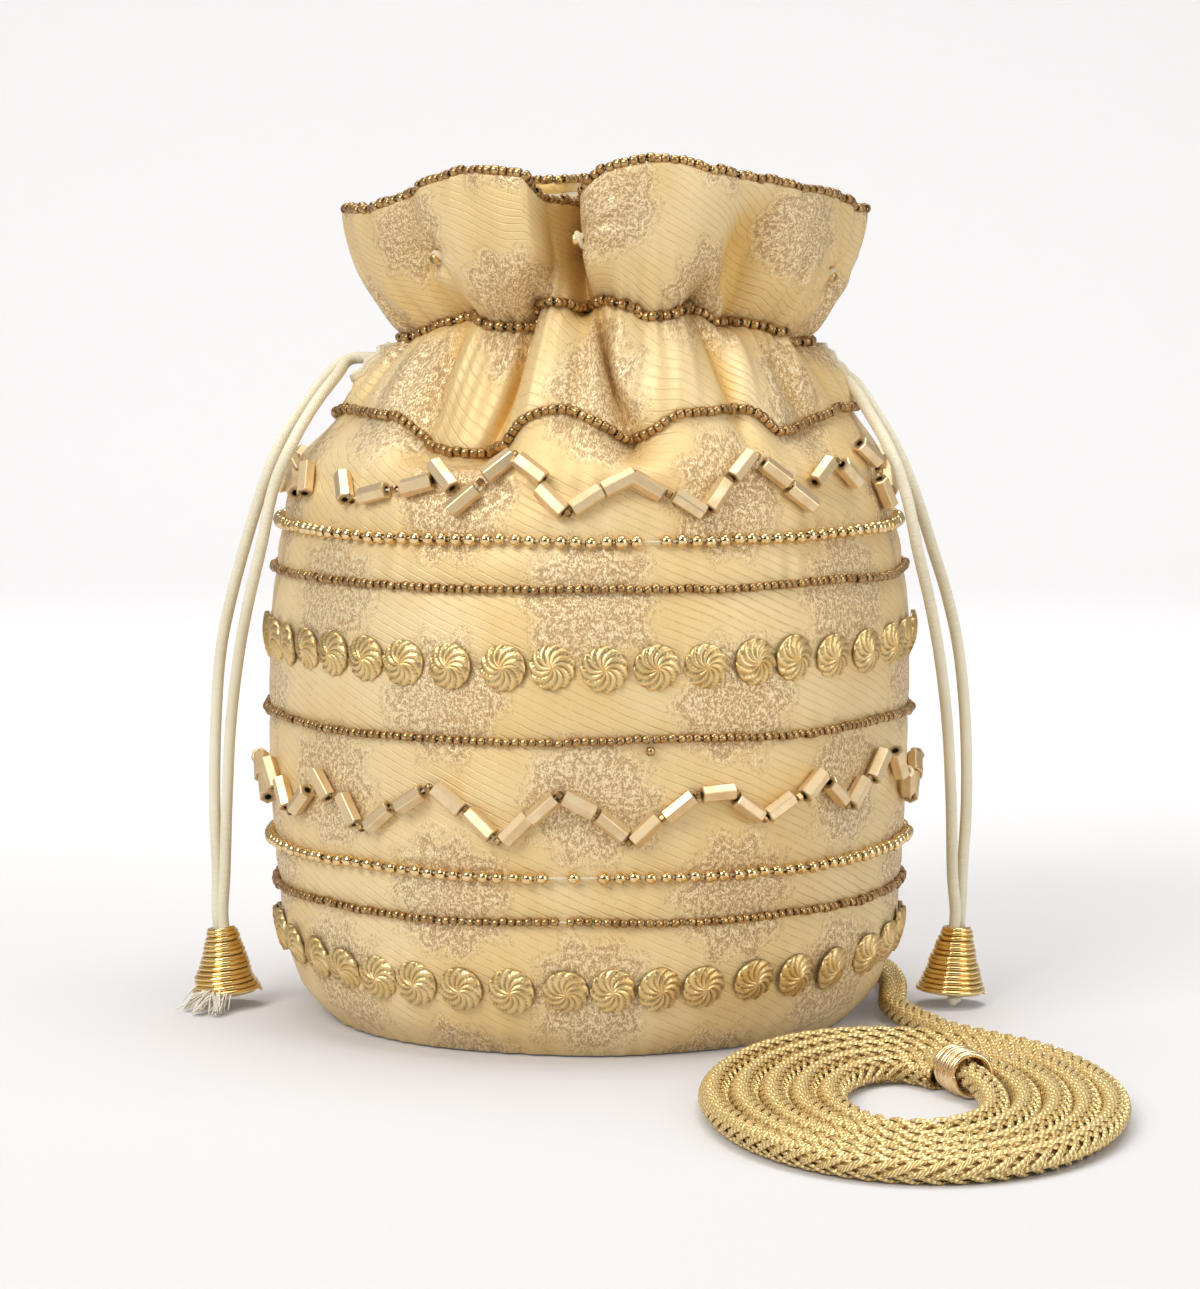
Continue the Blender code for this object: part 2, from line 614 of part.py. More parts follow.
def add_cord(name, points, diameter, finish):
    """A round cord along points in metres."""
    curve = bpy.data.curves.new(name, "CURVE")
    curve.dimensions = "3D"
    curve.bevel_depth = diameter / 2
    curve.bevel_resolution = 2
    curve.use_fill_caps = True
    spline = curve.splines.new("POLY")
    spline.points.add(len(points) - 1)
    for slot, point in zip(spline.points, points, strict=True):
        slot.co = (*map(float, point), 1)
    spline.use_smooth = True
    curve.materials.append(finish)
    cord = bpy.data.objects.new(name, curve)
    bpy.context.scene.collection.objects.link(cord)
    return cord


def smooth_route(points, spacing):
    """Evenly spaced points on a smooth curve through the route's own points."""
    points = np.asarray(points, float)
    ends = np.concatenate([[2 * points[0] - points[1]], points, [2 * points[-1] - points[-2]]])
    t = np.linspace(0, 1, CURVE_SAMPLES, endpoint=False)[:, None]
    pieces = []
    for a, b, c, d in zip(ends, ends[1:], ends[2:], ends[3:], strict=False):
        bend = 2 * a - 5 * b + 4 * c - d
        twist = 3 * b - a - 3 * c + d
        pieces.append(b + (t * (c - a) + t**2 * bend + t**3 * twist) / 2)
    fine = np.concatenate([*pieces, points[-1:]])
    reached = np.concatenate([[0], np.cumsum(np.linalg.norm(np.diff(fine, axis=0), axis=1))])
    wanted = np.linspace(0, reached[-1], round(reached[-1] / spacing))
    return np.stack([np.interp(wanted, reached, fine[:, axis]) for axis in range(3)], axis=1)


def loop_height(turn, side):
    """Height of a drawstring inside the casing. The left one lies above the right one."""
    lift = LOOP_SPACING / 2 if side < 0 else -LOOP_SPACING / 2
    return NECK_HEIGHT + LOOP_RISE * np.cos(np.radians(turn)) ** 2 - LOOP_DROP + lift


def fitted(route):
    """Points of a route in metres, stretched to the bag's width and to the height of its neck."""
    wide, high = BELLY_RADIUS / ROUTE_FIT[0], NECK_HEIGHT / ROUTE_FIT[1]
    return MM * np.array(route, float) * (wide, wide, high)


def slot_point(side, row, inset):
    """A point where a drawstring comes out of its slot. Row is 1 for the outer strand, -1 for the inner."""
    return (side * (STRAND_EXIT + inset), row * STRAND_SPREAD, float(loop_height(side * SIDE_ANGLE, side)))


def make_loops(finish):
    """The two drawstrings inside the casing, each from its slot all the way round and out again."""
    for name, side in (("drawstring_left", -1), ("drawstring_right", 1)):
        sweep = side * SIDE_ANGLE + np.linspace(LOOP_START, 360 - LOOP_START, LOOP_POINTS)
        ring = around(sweep, LOOP_RADIUS, loop_height(sweep, side))
        leads = [slot_point(side, row, -STRAND_LEAD) for row in (side, -side)]
        tips = [slot_point(side, row, -GAP) for row in (side, -side)]
        path = smooth_route([leads[0], *ring, leads[1]], LOOP_STEP)
        add_cord(name, [tips[0], *path, tips[1]], CORD_DIAMETER, finish)


def cone_frame(side):
    """Placement of a cone: its axis leans outwards at the top."""
    lean = Matrix.Rotation(math.radians(side * CONE_LEAN), 4, "Y")
    return Matrix.Translation((side * CONE_DISTANCE, 0, CONE_BOTTOM)) @ lean


def make_strands(finish):
    """The four free ends of the drawstrings, from the slots down into the cones."""
    for name, route in STRAND_ROUTES.items():
        side = -1 if name.startswith("left") else 1
        row = 1 if name.endswith("outer") else -1
        tip, lead = (slot_point(side, row, inset) for inset in (0, STRAND_LEAD))
        points = [lead, *fitted(route)]
        offset = (side * row * PAIR_OFFSET[0], row * PAIR_OFFSET[1])
        for height in (CONE_HEIGHT + PAIR_ABOVE_CONE, CONE_HEIGHT - PAIR_IN_CONE, KNOT_HEIGHT + GAP):
            points.append(np.array(cone_frame(side) @ Vector((*offset, height))))
        add_cord(f"strand_{name}", [tip, *smooth_route(points, STRAND_STEP)], CORD_DIAMETER, finish)


def make_cones(finishes):
    """Cones wound from wire, with the knotted cord ends that they hide."""
    taper = (CONE_BOTTOM_RADIUS - CONE_TOP_RADIUS) / CONE_HEIGHT
    pitch = CONE_HEIGHT / CONE_TURNS
    outside = []
    for low in pitch * np.arange(CONE_TURNS):
        outside.append((CONE_BOTTOM_RADIUS - taper * low - CONE_GROOVE, low))
        outside.append((CONE_BOTTOM_RADIUS - taper * (low + pitch / 2), low + pitch / 2))
    outside.append((CONE_TOP_RADIUS - CONE_GROOVE, CONE_HEIGHT))
    room = CONE_BOTTOM_RADIUS - CONE_WALL - CONE_GROOVE
    inside = ((CONE_TOP_RADIUS - CONE_WALL, CONE_HEIGHT), (room, 0))
    girth = room - KNOT_CLEARANCE
    knot = (
        (girth / 2, KNOT_LIFT - CONE_BOTTOM), (girth * 0.9, KNOT_SHOULDER - CONE_BOTTOM),
        (girth, 0), (girth - taper * KNOT_HEIGHT, KNOT_HEIGHT),
    )
    for name, side in (("left", -1), ("right", 1)):
        cone = turned(f"cone_{name}", [*outside, *inside], CONE_SIDES, finishes["gold"])
        cone.matrix_world = cone_frame(side)
        end = turned(f"cord_end_{name}", knot, KNOT_SIDES, finishes["cord"], closed=False)
        end.matrix_world = cone_frame(side)


def ellipse_ring(half_width, half_length, height):
    angle = np.arange(COIL_SIDES) * 2 * math.pi / COIL_SIDES
    x = COIL_CENTRE[0] + half_width * np.cos(angle)
    y = COIL_CENTRE[1] + half_length * np.sin(angle)
    return np.stack([x, y, height + 0 * x], axis=-1)


def coil_point(angle):
    """A point on the middle line of the coil's innermost turn, at an angle from +X."""
    turn, inset = math.radians(angle), SLING_DIAMETER / 2
    x = COIL_CENTRE[0] + (HOLE_HALF_WIDTH + inset) * math.cos(turn)
    y = COIL_CENTRE[1] + (HOLE_HALF_LENGTH + inset) * math.sin(turn)
    return Vector((x, y, GAP + COLLAR_DIAMETER / 2))


def make_coil(finish):
    """The coiled rope as one flat oval ring, which fills its outline."""
    profile = ((COIL_EASE, COIL_LIFT), (0, SLING_DIAMETER / 2), (COIL_EASE, SLING_DIAMETER))
    rings = [ellipse_ring(COIL_HALF_WIDTH - inset, COIL_HALF_LENGTH - inset, z) for inset, z in profile]
    for inset, z in profile[::-1]:
        rings.append(ellipse_ring(HOLE_HALF_WIDTH + inset, HOLE_HALF_LENGTH + inset, z))
    return add_band("sling_coil", np.stack(rings), finish)


def make_sling(finishes):
    """The braided sling: the run from the neck to the coil, the coil, and the collar on its inner turn."""
    landing = [(COIL_CENTRE[0] + x * MM, COIL_CENTRE[1] + y * MM, SLING_LIFT) for x, y in SLING_LANDING]
    route = np.concatenate([fitted(SLING_ROUTE), landing])
    route[:, 2] = np.maximum(route[:, 2], SLING_LIFT)
    add_cord("sling_run", smooth_route(route, SLING_STEP), SLING_DIAMETER, finishes["braid"])
    along = coil_point(COLLAR_ANGLE - COLLAR_SPAN / 2) - coil_point(COLLAR_ANGLE + COLLAR_SPAN / 2)
    facing = along.to_track_quat("Z", "Y").to_matrix().to_4x4()
    place = Matrix.Translation(coil_point(COLLAR_ANGLE)) @ facing
    half, ease = COLLAR_LENGTH / 2, COLLAR_EASE
    outer, bore = COLLAR_DIAMETER / 2, COLLAR_BORE / 2
    profile = (
        (bore, -half), (outer - ease, -half), (outer, -half + ease),
        (outer, half - ease), (outer - ease, half), (bore, half),
    )
    collar = turned("sling_collar", profile, COLLAR_SIDES, finishes["copper"])
    collar.matrix_world = place
    profile = ((outer + GAP, -half - GAP), (outer + GAP, half + GAP))
    room = turned("collar_room", profile, COLLAR_SIDES, finishes["copper"], closed=False)
    room.matrix_world = place
    room.hide_render = True
    room.display_type = "WIRE"
    cut = make_coil(finishes["braid"]).modifiers.new("collar room", "BOOLEAN")
    cut.operation = "DIFFERENCE"
    cut.object = room


def main():
    clear_scene()
    finishes = make_finishes()
    turn = column_angles()
    levels, cloth = make_cloth(turn, finishes["brocade"])
    make_lining(turn, levels, cloth, finishes["lining"])
    make_base(finishes)
    make_beads(turn, levels, cloth, finishes)
    make_tacks(turn, levels, cloth, finishes["gold"])
    make_loops(finishes["cord"])
    make_strands(finishes["cord"])
    make_cones(finishes)
    make_sling(finishes)


main()
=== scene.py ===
"""Dresses a potli bag: gathered brocade, rows of beads, corded drawstrings and a braided sling.

Metres, +Z up, the front facing -Y. An angle round the bag is in degrees, 0 at the front and 90 at
the right. A level along the cloth is 0 at the base seam, 1 at the casing line, 2 at the neck line
and 3 at the rim.
"""

import logging
import math
from dataclasses import dataclass
from enum import Enum

import bpy
import numpy as np
from mathutils import Matrix, Vector


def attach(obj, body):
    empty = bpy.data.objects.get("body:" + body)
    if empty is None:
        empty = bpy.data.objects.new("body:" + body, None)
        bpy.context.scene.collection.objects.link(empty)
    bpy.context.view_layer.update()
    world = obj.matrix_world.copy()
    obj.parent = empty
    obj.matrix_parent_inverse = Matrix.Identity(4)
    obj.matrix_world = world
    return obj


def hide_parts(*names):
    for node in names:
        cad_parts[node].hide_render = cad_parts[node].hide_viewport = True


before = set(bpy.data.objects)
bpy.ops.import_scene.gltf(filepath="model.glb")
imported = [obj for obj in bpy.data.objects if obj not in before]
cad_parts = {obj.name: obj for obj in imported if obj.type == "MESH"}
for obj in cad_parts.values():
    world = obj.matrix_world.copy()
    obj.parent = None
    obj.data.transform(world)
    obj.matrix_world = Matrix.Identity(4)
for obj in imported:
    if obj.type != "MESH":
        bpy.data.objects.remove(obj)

MM = 0.001
BODY = "root"
LOG = logging.getLogger("potli bag")

Place = tuple[float, float, float]
Colour = tuple[float, float, float]
Table = tuple[tuple[float, ...], ...]
Socket = bpy.types.NodeSocket


# Shapes


def unit(vectors: np.ndarray) -> np.ndarray:
    """Each vector scaled to length 1."""
    return vectors / np.linalg.norm(vectors, axis=-1, keepdims=True)


def bell(offset: np.ndarray, width: np.ndarray | float) -> np.ndarray:
    """A hump of height 1 at offset 0."""
    return np.exp(-((offset / width) ** 2))


def ease(value: np.ndarray, low: float, high: float) -> np.ndarray:
    """A smooth rise from 0 at low to 1 at high."""
    share = np.clip((value - low) / (high - low), 0, 1)
    return share * share * (3 - 2 * share)


def apart(turn: np.ndarray, centre: float) -> np.ndarray:
    """Signed angle from the centre to each turn, between -180 and 180."""
    return (turn - centre + 180) % 360 - 180


def around(turn: np.ndarray, radius: np.ndarray, height: np.ndarray) -> np.ndarray:
    """Points round the bag's axis."""
    angle = np.radians(turn)
    return np.stack(np.broadcast_arrays(radius * np.sin(angle), -radius * np.cos(angle), height), axis=-1)


def ripple(turn: np.ndarray, seed: int, fewest: int, most: int) -> np.ndarray:
    """An irregular wave round the bag, about 1 high, that closes on itself.

    Args:
        turn: Angles in degrees.
        seed: Picks the wave.
        fewest: Smallest number of waves in a full turn.
        most: Largest number of waves in a full turn.

    Returns:
        The wave's height at each angle.
    """
    chance = np.random.default_rng(seed)
    total = np.zeros_like(np.asarray(turn, float))
    counts = np.linspace(fewest, most, 7).round()
    for count in counts:
        total += chance.uniform(0.5, 1) * np.cos(np.radians(turn) * count + chance.uniform(0, math.tau))
    return total / math.sqrt(len(counts) / 2)


def curve_through(at: np.ndarray, places: tuple, values: tuple) -> np.ndarray:
    """A smooth curve through given values that never overshoots them.

    Args:
        at: Where the curve is read.
        places: Rising places of the given values.
        values: The values there.

    Returns:
        The curve's value at each place asked for.
    """
    places, values, at = (np.asarray(row, float) for row in (places, values, at))
    step = np.diff(places)
    slope = np.diff(values) / step
    before, after = slope[:-1], slope[1:]
    total = np.where(before + after == 0, 1, before + after)
    inner = np.where(before * after > 0, 2 * before * after / total, 0)
    tangent = np.concatenate([slope[:1], inner, slope[-1:]])
    i = np.clip(np.searchsorted(places, at, side="right") - 1, 0, len(step) - 1)
    t = (at - places[i]) / step[i]
    rise = values[i] * (1 + 2 * t) * (1 - t) ** 2 + values[i + 1] * t**2 * (3 - 2 * t)
    return rise + step[i] * (tangent[i] * t * (1 - t) ** 2 + tangent[i + 1] * t**2 * (t - 1))


def distance(line: np.ndarray) -> np.ndarray:
    """Distance along a line to each of its points."""
    return np.concatenate([[0], np.cumsum(np.linalg.norm(np.diff(line, axis=0), axis=1))])


def read_along(line: np.ndarray, reached: np.ndarray, wanted: np.ndarray) -> np.ndarray:
    """Points of a line at the wanted distances, given the distance reached at each of its own."""
    return np.stack([np.interp(wanted, reached, line[:, axis]) for axis in range(3)], axis=1)


def evenly(points: np.ndarray, spacing: float) -> np.ndarray:
    """Evenly spaced points along a line of close points, both ends kept."""
    reached = distance(points)
    wanted = np.linspace(0, reached[-1], max(3, round(reached[-1] / spacing) + 1))
    return read_along(points, reached, wanted)


def smooth_route(points: list | np.ndarray, spacing: float) -> np.ndarray:
    """Evenly spaced points on a smooth curve through the route's own points."""
    points = np.asarray(points, float)
    ends = np.concatenate([[2 * points[0] - points[1]], points, [2 * points[-1] - points[-2]]])
    t = np.linspace(0, 1, 12, endpoint=False)[:, None]
    pieces = []
    for a, b, c, d in zip(ends, ends[1:], ends[2:], ends[3:], strict=False):
        bend = 2 * a - 5 * b + 4 * c - d
        twist = 3 * b - a - 3 * c + d
        pieces.append(b + (t * (c - a) + t**2 * bend + t**3 * twist) / 2)
    return evenly(np.concatenate([*pieces, points[-1:]]), spacing)


def route_frames(path: np.ndarray, up: Place = (0, 0, 1)) -> tuple[np.ndarray, np.ndarray, np.ndarray]:
    """Directions along and across a route, carried along it without twist.

    Args:
        path: Points of the route.
        up: Direction that the first side vector leans towards.

    Returns:
        The tangents, the side vectors and the vectors square to both.
    """
    along = unit(np.gradient(path, axis=0))
    side = np.empty_like(path)
    start = np.asarray(up, float)
    start = start - along[0] * (start @ along[0])
    if np.linalg.norm(start) < 1e-6:
        start = np.cross(along[0], (1, 0, 0))
    side[0] = start / np.linalg.norm(start)
    for i in range(1, len(path)):
        moved = side[i - 1] - along[i] * (side[i - 1] @ along[i])
        side[i] = moved / np.linalg.norm(moved)
    return along, side, np.cross(along, side)


def spun(first: np.ndarray, second: np.ndarray, angle: np.ndarray) -> tuple[np.ndarray, np.ndarray]:
    """Two directions square to each other, turned in their own plane."""
    return first * np.cos(angle) + second * np.sin(angle), second * np.cos(angle) - first * np.sin(angle)


def ring_faces(low: int, high: int, sides: int) -> np.ndarray:
    """Quads between two rings of points, whose first points have the indices low and high."""
    i = np.arange(sides)
    j = (i + 1) % sides
    return np.stack([low + i, high + i, high + j, low + j], axis=1)


def new_object(name: str, data: bpy.types.ID) -> bpy.types.Object:
    """An object in the scene that shows the data."""
    made = bpy.data.objects.new(name, data)
    bpy.context.scene.collection.objects.link(made)
    return made


class Pile:
    """Points, faces and surface coordinates gathered for one mesh."""

    def __init__(self) -> None:
        """Starts empty."""
        self.points: list[np.ndarray] = []
        self.faces: list[np.ndarray] = []
        self.flat: list[np.ndarray] = []
        self.slots: list[np.ndarray] = []
        self.painted_shades: list[np.ndarray] = []
        self.count = 0

    def add(
        self, points: np.ndarray, faces: np.ndarray, flat: np.ndarray | None = None, slot: int = 0,
        painted_shade: np.ndarray | None = None,
    ) -> None:
        """Adds faces of one corner count.

        Args:
            points: New points.
            faces: Corner indices into the new points, one row a face.
            flat: Surface coordinates in metres for each corner of each face.
            slot: Index of the material.
            painted_shade: How much painted shade each point gets, from 0 to 1, by how deep it lies between its
                neighbours.
        """
        points, faces = np.asarray(points, float).reshape(-1, 3), np.asarray(faces, int)
        self.painted_shades.append(np.zeros(len(points)) if painted_shade is None else np.asarray(painted_shade, float).ravel())
        self.points.append(points)
        self.faces.append(faces + self.count)
        self.flat.append(np.zeros((faces.size, 2)) if flat is None else np.asarray(flat, float).reshape(-1, 2))
        self.slots.append(np.full(len(faces), slot))
        self.count += len(points)

    def add_grid(
        self, grid: np.ndarray, flat: np.ndarray | None = None, closed: bool = False, slot: int = 0,
        holes: np.ndarray | None = None, painted_shade: np.ndarray | None = None,
    ) -> None:
        """Adds a grid of points as quads.

        Args:
            grid: Points, rows x columns x 3.
            flat: Surface coordinates, rows x columns x 2, with one more column where the grid is closed.
            closed: True if the last column joins the first.
            slot: Index of the material.
            holes: True for each cell that is left out, rows - 1 x columns.
            painted_shade: How much painted shade each point gets, from 0 to 1, by how deep it lies between its
                neighbours.
        """
        rows, columns = grid.shape[:2]
        cells = columns if closed else columns - 1
        row, column = np.meshgrid(np.arange(rows - 1), np.arange(cells), indexing="ij")
        if holes is not None:
            row, column = row[~holes], column[~holes]
        row, column = row.ravel(), column.ravel()
        after = (column + 1) % columns
        corners = ((row, column), (row, after), (row + 1, after), (row + 1, column))
        faces = np.stack([r * columns + c for r, c in corners], axis=1)
        if flat is not None:
            flat = np.stack([
                flat[row, column], flat[row, column + 1], flat[row + 1, column + 1], flat[row + 1, column],
            ], axis=1)
        self.add(grid, faces, flat, slot, painted_shade)

    def add_tube(
        self, path: np.ndarray, radius: np.ndarray | float, sides: int, slot: int = 0, ends: bool = False,
    ) -> None:
        """Adds the skin of a round cord.

        Args:
            path: Points of its centreline.
            radius: Its radius, or one for each point.
            sides: Number of sides.
            slot: Index of the material.
            ends: True to close both ends with slightly domed caps.
        """
        grid, flat = tube(path, radius, sides)
        self.add_grid(grid, flat, closed=True, slot=slot)
        if not ends:
            return
        for ring, inner in ((grid[0], grid[1]), (grid[-1], grid[-2])):
            middle = ring.mean(axis=0)
            away = unit(middle - inner.mean(axis=0))
            reach = np.linalg.norm(ring[0] - middle)
            small = middle + (ring - middle) * 0.6 + away * reach * 0.25
            tip = middle + away * reach * 0.35
            i = np.arange(sides)
            j = (i + 1) % sides
            points = np.concatenate([ring, small, tip[None]])
            self.add(points, np.stack([i, j, sides + j, sides + i], axis=1))
            self.add(points, np.stack([sides + i, sides + j, np.full(sides, 2 * sides)], axis=1))

    def add_copies(self, shape: "Shape", places: np.ndarray, axes: np.ndarray, slot: int = 0) -> None:
        """Adds a copy of a shape at each place.

        Args:
            shape: What is copied.
            places: Positions.
            axes: For each copy a 3 x 3 matrix whose rows are where its own X, Y and Z go.
            slot: Index of the material.
        """
        points = np.einsum("vi,kij->kvj", shape.points, axes) + places[:, None]
        step = np.arange(len(places))[:, None, None] * len(shape.points)
        painted_shade = np.zeros(len(shape.points)) if shape.painted_shade is None else shape.painted_shade
        self.points.append(points.reshape(-1, 3))
        self.painted_shades.append(np.tile(painted_shade, len(places)))
        for faces in shape.faces:
            block = (faces[None] + step).reshape(-1, faces.shape[1])
            self.faces.append(block + self.count)
            self.flat.append(np.zeros((block.size, 2)))
            self.slots.append(np.full(len(block), slot))
        self.count += points.shape[0] * points.shape[1]

    def build(self, name: str, *materials: bpy.types.Material, sharp: float | None = None) -> bpy.types.Object:
        """Makes the mesh object.

        Args:
            name: Its name.
            materials: Its materials, in the order of the slots.
            sharp: Angle in degrees over which an edge is sharp, or None for smooth shading all over.

        Returns:
            The object, riding on the bag's body.
        """
        mesh = bpy.data.meshes.new(name)
        points = np.concatenate(self.points)
        corners = np.concatenate([faces.ravel() for faces in self.faces])
        sizes = np.concatenate([np.full(len(faces), faces.shape[1]) for faces in self.faces])
        mesh.vertices.add(len(points))
        mesh.vertices.foreach_set("co", points.ravel())
        mesh.loops.add(len(corners))
        mesh.loops.foreach_set("vertex_index", corners)
        mesh.polygons.add(len(sizes))
        mesh.polygons.foreach_set("loop_start", np.concatenate([[0], np.cumsum(sizes)[:-1]]))
        mesh.polygons.foreach_set("material_index", np.concatenate(self.slots))
        mesh.update(calc_edges=True)
        layer = mesh.uv_layers.new(name="flat")
        layer.data.foreach_set("uv", np.concatenate(self.flat).ravel())
        # Per-point value that sets the painted shade: the colour darkens with it in grooves, folds and where
        # parts meet.
        shade = mesh.attributes.new("painted_shade", "FLOAT", "POINT")
        shade.data.foreach_set("value", np.concatenate(self.painted_shades))
        mesh.validate()
        mesh.shade_smooth()
        if sharp is not None:
            mesh.set_sharp_from_angle(angle=math.radians(sharp))
        for material in materials:
            mesh.materials.append(material)
        piece = new_object(name, mesh)
        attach(piece, BODY)
        LOG.info("%s: %d faces", name, len(sizes))
        return piece


@dataclass(frozen=True)
class Shape:
    """A small mesh that is copied: its points, its faces by corner count, and how much painted shade each point
    gets.
    """

    points: np.ndarray
    faces: tuple[np.ndarray, ...]
    painted_shade: np.ndarray | None = None

    @staticmethod
    def turned(profile: list[tuple[float, float]], sides: int, painted_shade: tuple[float, ...]) -> "Shape":
        """A shape turned about its own X, with a hole along it.

        Args:
            profile: Points of the outline as (along, radius), the last joining the first.
            sides: Number of sides.
            painted_shade: How much painted shade each point of the outline gets, from 0 to 1.

        Returns:
            The shape.
        """
        turn = np.arange(sides) * math.tau / sides
        rings = [np.stack([np.full(sides, x), r * np.cos(turn), r * np.sin(turn)], axis=1) for x, r in profile]
        count = len(profile)
        faces = [ring_faces(row * sides, (row + 1) % count * sides, sides) for row in range(count)]
        return Shape(np.concatenate(rings), (np.concatenate(faces),), np.repeat(painted_shade, sides))


def tube(path: np.ndarray, radius: np.ndarray | float, sides: int) -> tuple[np.ndarray, np.ndarray]:
    """Points of a round cord's skin, and its surface coordinates round and along it in metres."""
    _, side, other = route_frames(path)
    radius = np.broadcast_to(radius, len(path))
    turn = np.arange(sides) * math.tau / sides
    ring = np.cos(turn)[None, :, None] * side[:, None] + np.sin(turn)[None, :, None] * other[:, None]
    grid = path[:, None] + radius[:, None, None] * ring
    round_it = np.arange(sides + 1) / sides * math.tau * float(np.mean(radius))
    return grid, np.stack(np.meshgrid(round_it, distance(path)), axis=-1)


# Materials


@dataclass(frozen=True)
class Signal:
    """The output of a node. Sums and products of it are nodes too."""

    wiring: "Wiring"
    socket: Socket

    def __add__(self, other: "Feed") -> "Signal":
        """The sum."""
        return self.wiring.math("ADD", self, other)

    def __sub__(self, other: "Feed") -> "Signal":
        """The difference."""
        return self.wiring.math("SUBTRACT", self, other)

    def __rsub__(self, other: "Feed") -> "Signal":
        """What it leaves of a number."""
        return self.wiring.math("SUBTRACT", other, self)

    def __mul__(self, other: "Feed") -> "Signal":
        """The product."""
        return self.wiring.math("MULTIPLY", self, other)

    def __truediv__(self, other: "Feed") -> "Signal":
        """The quotient."""
        return self.wiring.math("DIVIDE", self, other)

    def scaled(self, factor: "Feed", added: "Feed") -> "Signal":
        """The product with a factor, and a value on top."""
        return self.wiring.math("MULTIPLY_ADD", self, factor, added)


Feed = Signal | Socket | float | Colour


class Wiring:
    """Adds nodes to one tree, taking numbers, colours or signals as inputs."""

    def __init__(self, tree: bpy.types.NodeTree) -> None:
        """Writes into the tree."""
        self.tree = tree

    def add(self, kind: str, **settings: str | bool | float) -> bpy.types.Node:
        """A new node with its settings."""
        node = self.tree.nodes.new(kind)
        for name, value in settings.items():
            setattr(node, name, value)
        return node

    def feed(self, socket: Socket, value: Feed) -> None:
        """Links a socket, or sets a plain value."""
        if isinstance(value, Signal):
            value = value.socket
        if isinstance(value, Socket):
            self.tree.links.new(value, socket)
        elif hasattr(value, "__len__") and socket.type == "RGBA":
            socket.default_value = (*value, 1) if len(value) == 3 else value
        else:
            socket.default_value = value

    def fill(self, node: bpy.types.Node, **values: Feed) -> None:
        """Feeds inputs of a node by name, with an underscore for each space."""
        for name, value in values.items():
            self.feed(node.inputs[name.replace("_", " ")], value)

    def signal(
        self, kind: str, values: dict[int | str, Feed], output: int | str = 0, **settings: str | bool | float
    ) -> Signal:
        """The output of a new node.

        Args:
            kind: The kind of node.
            values: What feeds its inputs, by number or name.
            output: Number or name of the output.
            **settings: The node's settings.

        Returns:
            The output.
        """
        node = self.add(kind, **settings)
        for key, value in values.items():
            self.feed(node.inputs[key], value)
        return Signal(self, node.outputs[output])

    def math(self, how: str, *values: Feed) -> Signal:
        """The result of one sum, under Blender's name for it, such as ADD."""
        return self.signal("ShaderNodeMath", dict(enumerate(values)), operation=how)

    def mix(self, share: Feed, first: Feed, second: Feed) -> Signal:
        """A colour between two, share 0 giving the first."""
        return self.signal("ShaderNodeMix", {0: share, 6: first, 7: second}, 2, data_type="RGBA")

    def between(self, share: Feed, first: Feed, second: Feed) -> Signal:
        """A number between two, share 0 giving the first."""
        return self.signal("ShaderNodeMix", {0: share, 2: first, 3: second}, data_type="FLOAT")

    def rise(self, value: Feed, low: float, high: float, start: float = 0.0, end: float = 1.0) -> Signal:
        """A smooth rise from start, where the value is low, to end, where it is high."""
        values = dict(enumerate((value, low, high, start, end)))
        return self.signal("ShaderNodeMapRange", values, interpolation_type="SMOOTHSTEP")

    def noise(
        self, place: Signal, scale: float, detail: float = 2, rough: float = 0.5, bend: float = 0
    ) -> Signal:
        """Smooth noise between 0 and 1."""
        return self.signal("ShaderNodeTexNoise", {
            "Vector": place, "Scale": scale, "Detail": detail, "Roughness": rough, "Distortion": bend,
        })

    def split(self, vector: Signal) -> tuple[Signal, ...]:
        """The three parts of a vector."""
        node = self.add("ShaderNodeSeparateXYZ")
        self.feed(node.inputs[0], vector)
        return tuple(Signal(self, socket) for socket in node.outputs)

    def join(self, x: Feed, y: Feed, z: Feed = 0.0) -> Signal:
        """A vector from three parts."""
        return self.signal("ShaderNodeCombineXYZ", dict(enumerate((x, y, z))))

    def flat(self) -> Signal:
        """Coordinates in metres along the piece's own surface."""
        return self.signal("ShaderNodeUVMap", {}, uv_map="flat")

    def space(self) -> Signal:
        """Coordinates in metres in the object's own space."""
        return self.signal("ShaderNodeTexCoord", {}, "Object")

    def painted_shade(self) -> Signal:
        """How much painted shade the surface gets, from 0 to 1, by how deep it lies between its neighbours."""
        return self.signal("ShaderNodeAttribute", {}, "Fac", attribute_name="painted_shade")

    def group(self, tree: bpy.types.NodeTree, **values: Feed) -> dict[str, Signal]:
        """Places a node group, feeds its inputs and gives its outputs by name."""
        node = self.add("ShaderNodeGroup", node_tree=tree)
        self.fill(node, **values)
        return {socket.name: Signal(self, socket) for socket in node.outputs}

    def bump(self, height: Signal, depth: float, normal: Signal | None = None) -> Signal:
        """A normal bent by a height between 0 and 1 that stands for a depth in metres."""
        under = {} if normal is None else {"Normal": normal}
        return self.signal("ShaderNodeBump", {"Height": height, "Distance": depth, **under})


def new_group(
    name: str, inputs: dict[str, str], outputs: dict[str, str]
) -> tuple[Wiring, dict[str, Signal], bpy.types.Node]:
    """An empty shader node group.

    Args:
        name: Its name.
        inputs: Name and kind of each input, the kind as in NodeSocketFloat.
        outputs: The same for the outputs.

    Returns:
        A writer for its tree, its inputs by name, and its output node.
    """
    tree = bpy.data.node_groups.new(name, "ShaderNodeTree")
    for way, sockets in (("INPUT", inputs), ("OUTPUT", outputs)):
        for label, kind in sockets.items():
            tree.interface.new_socket(name=label, in_out=way, socket_type=f"NodeSocket{kind}")
    wiring = Wiring(tree)
    source, sink = wiring.add("NodeGroupInput"), wiring.add("NodeGroupOutput")
    return wiring, {socket.name: Signal(wiring, socket) for socket in source.outputs}, sink


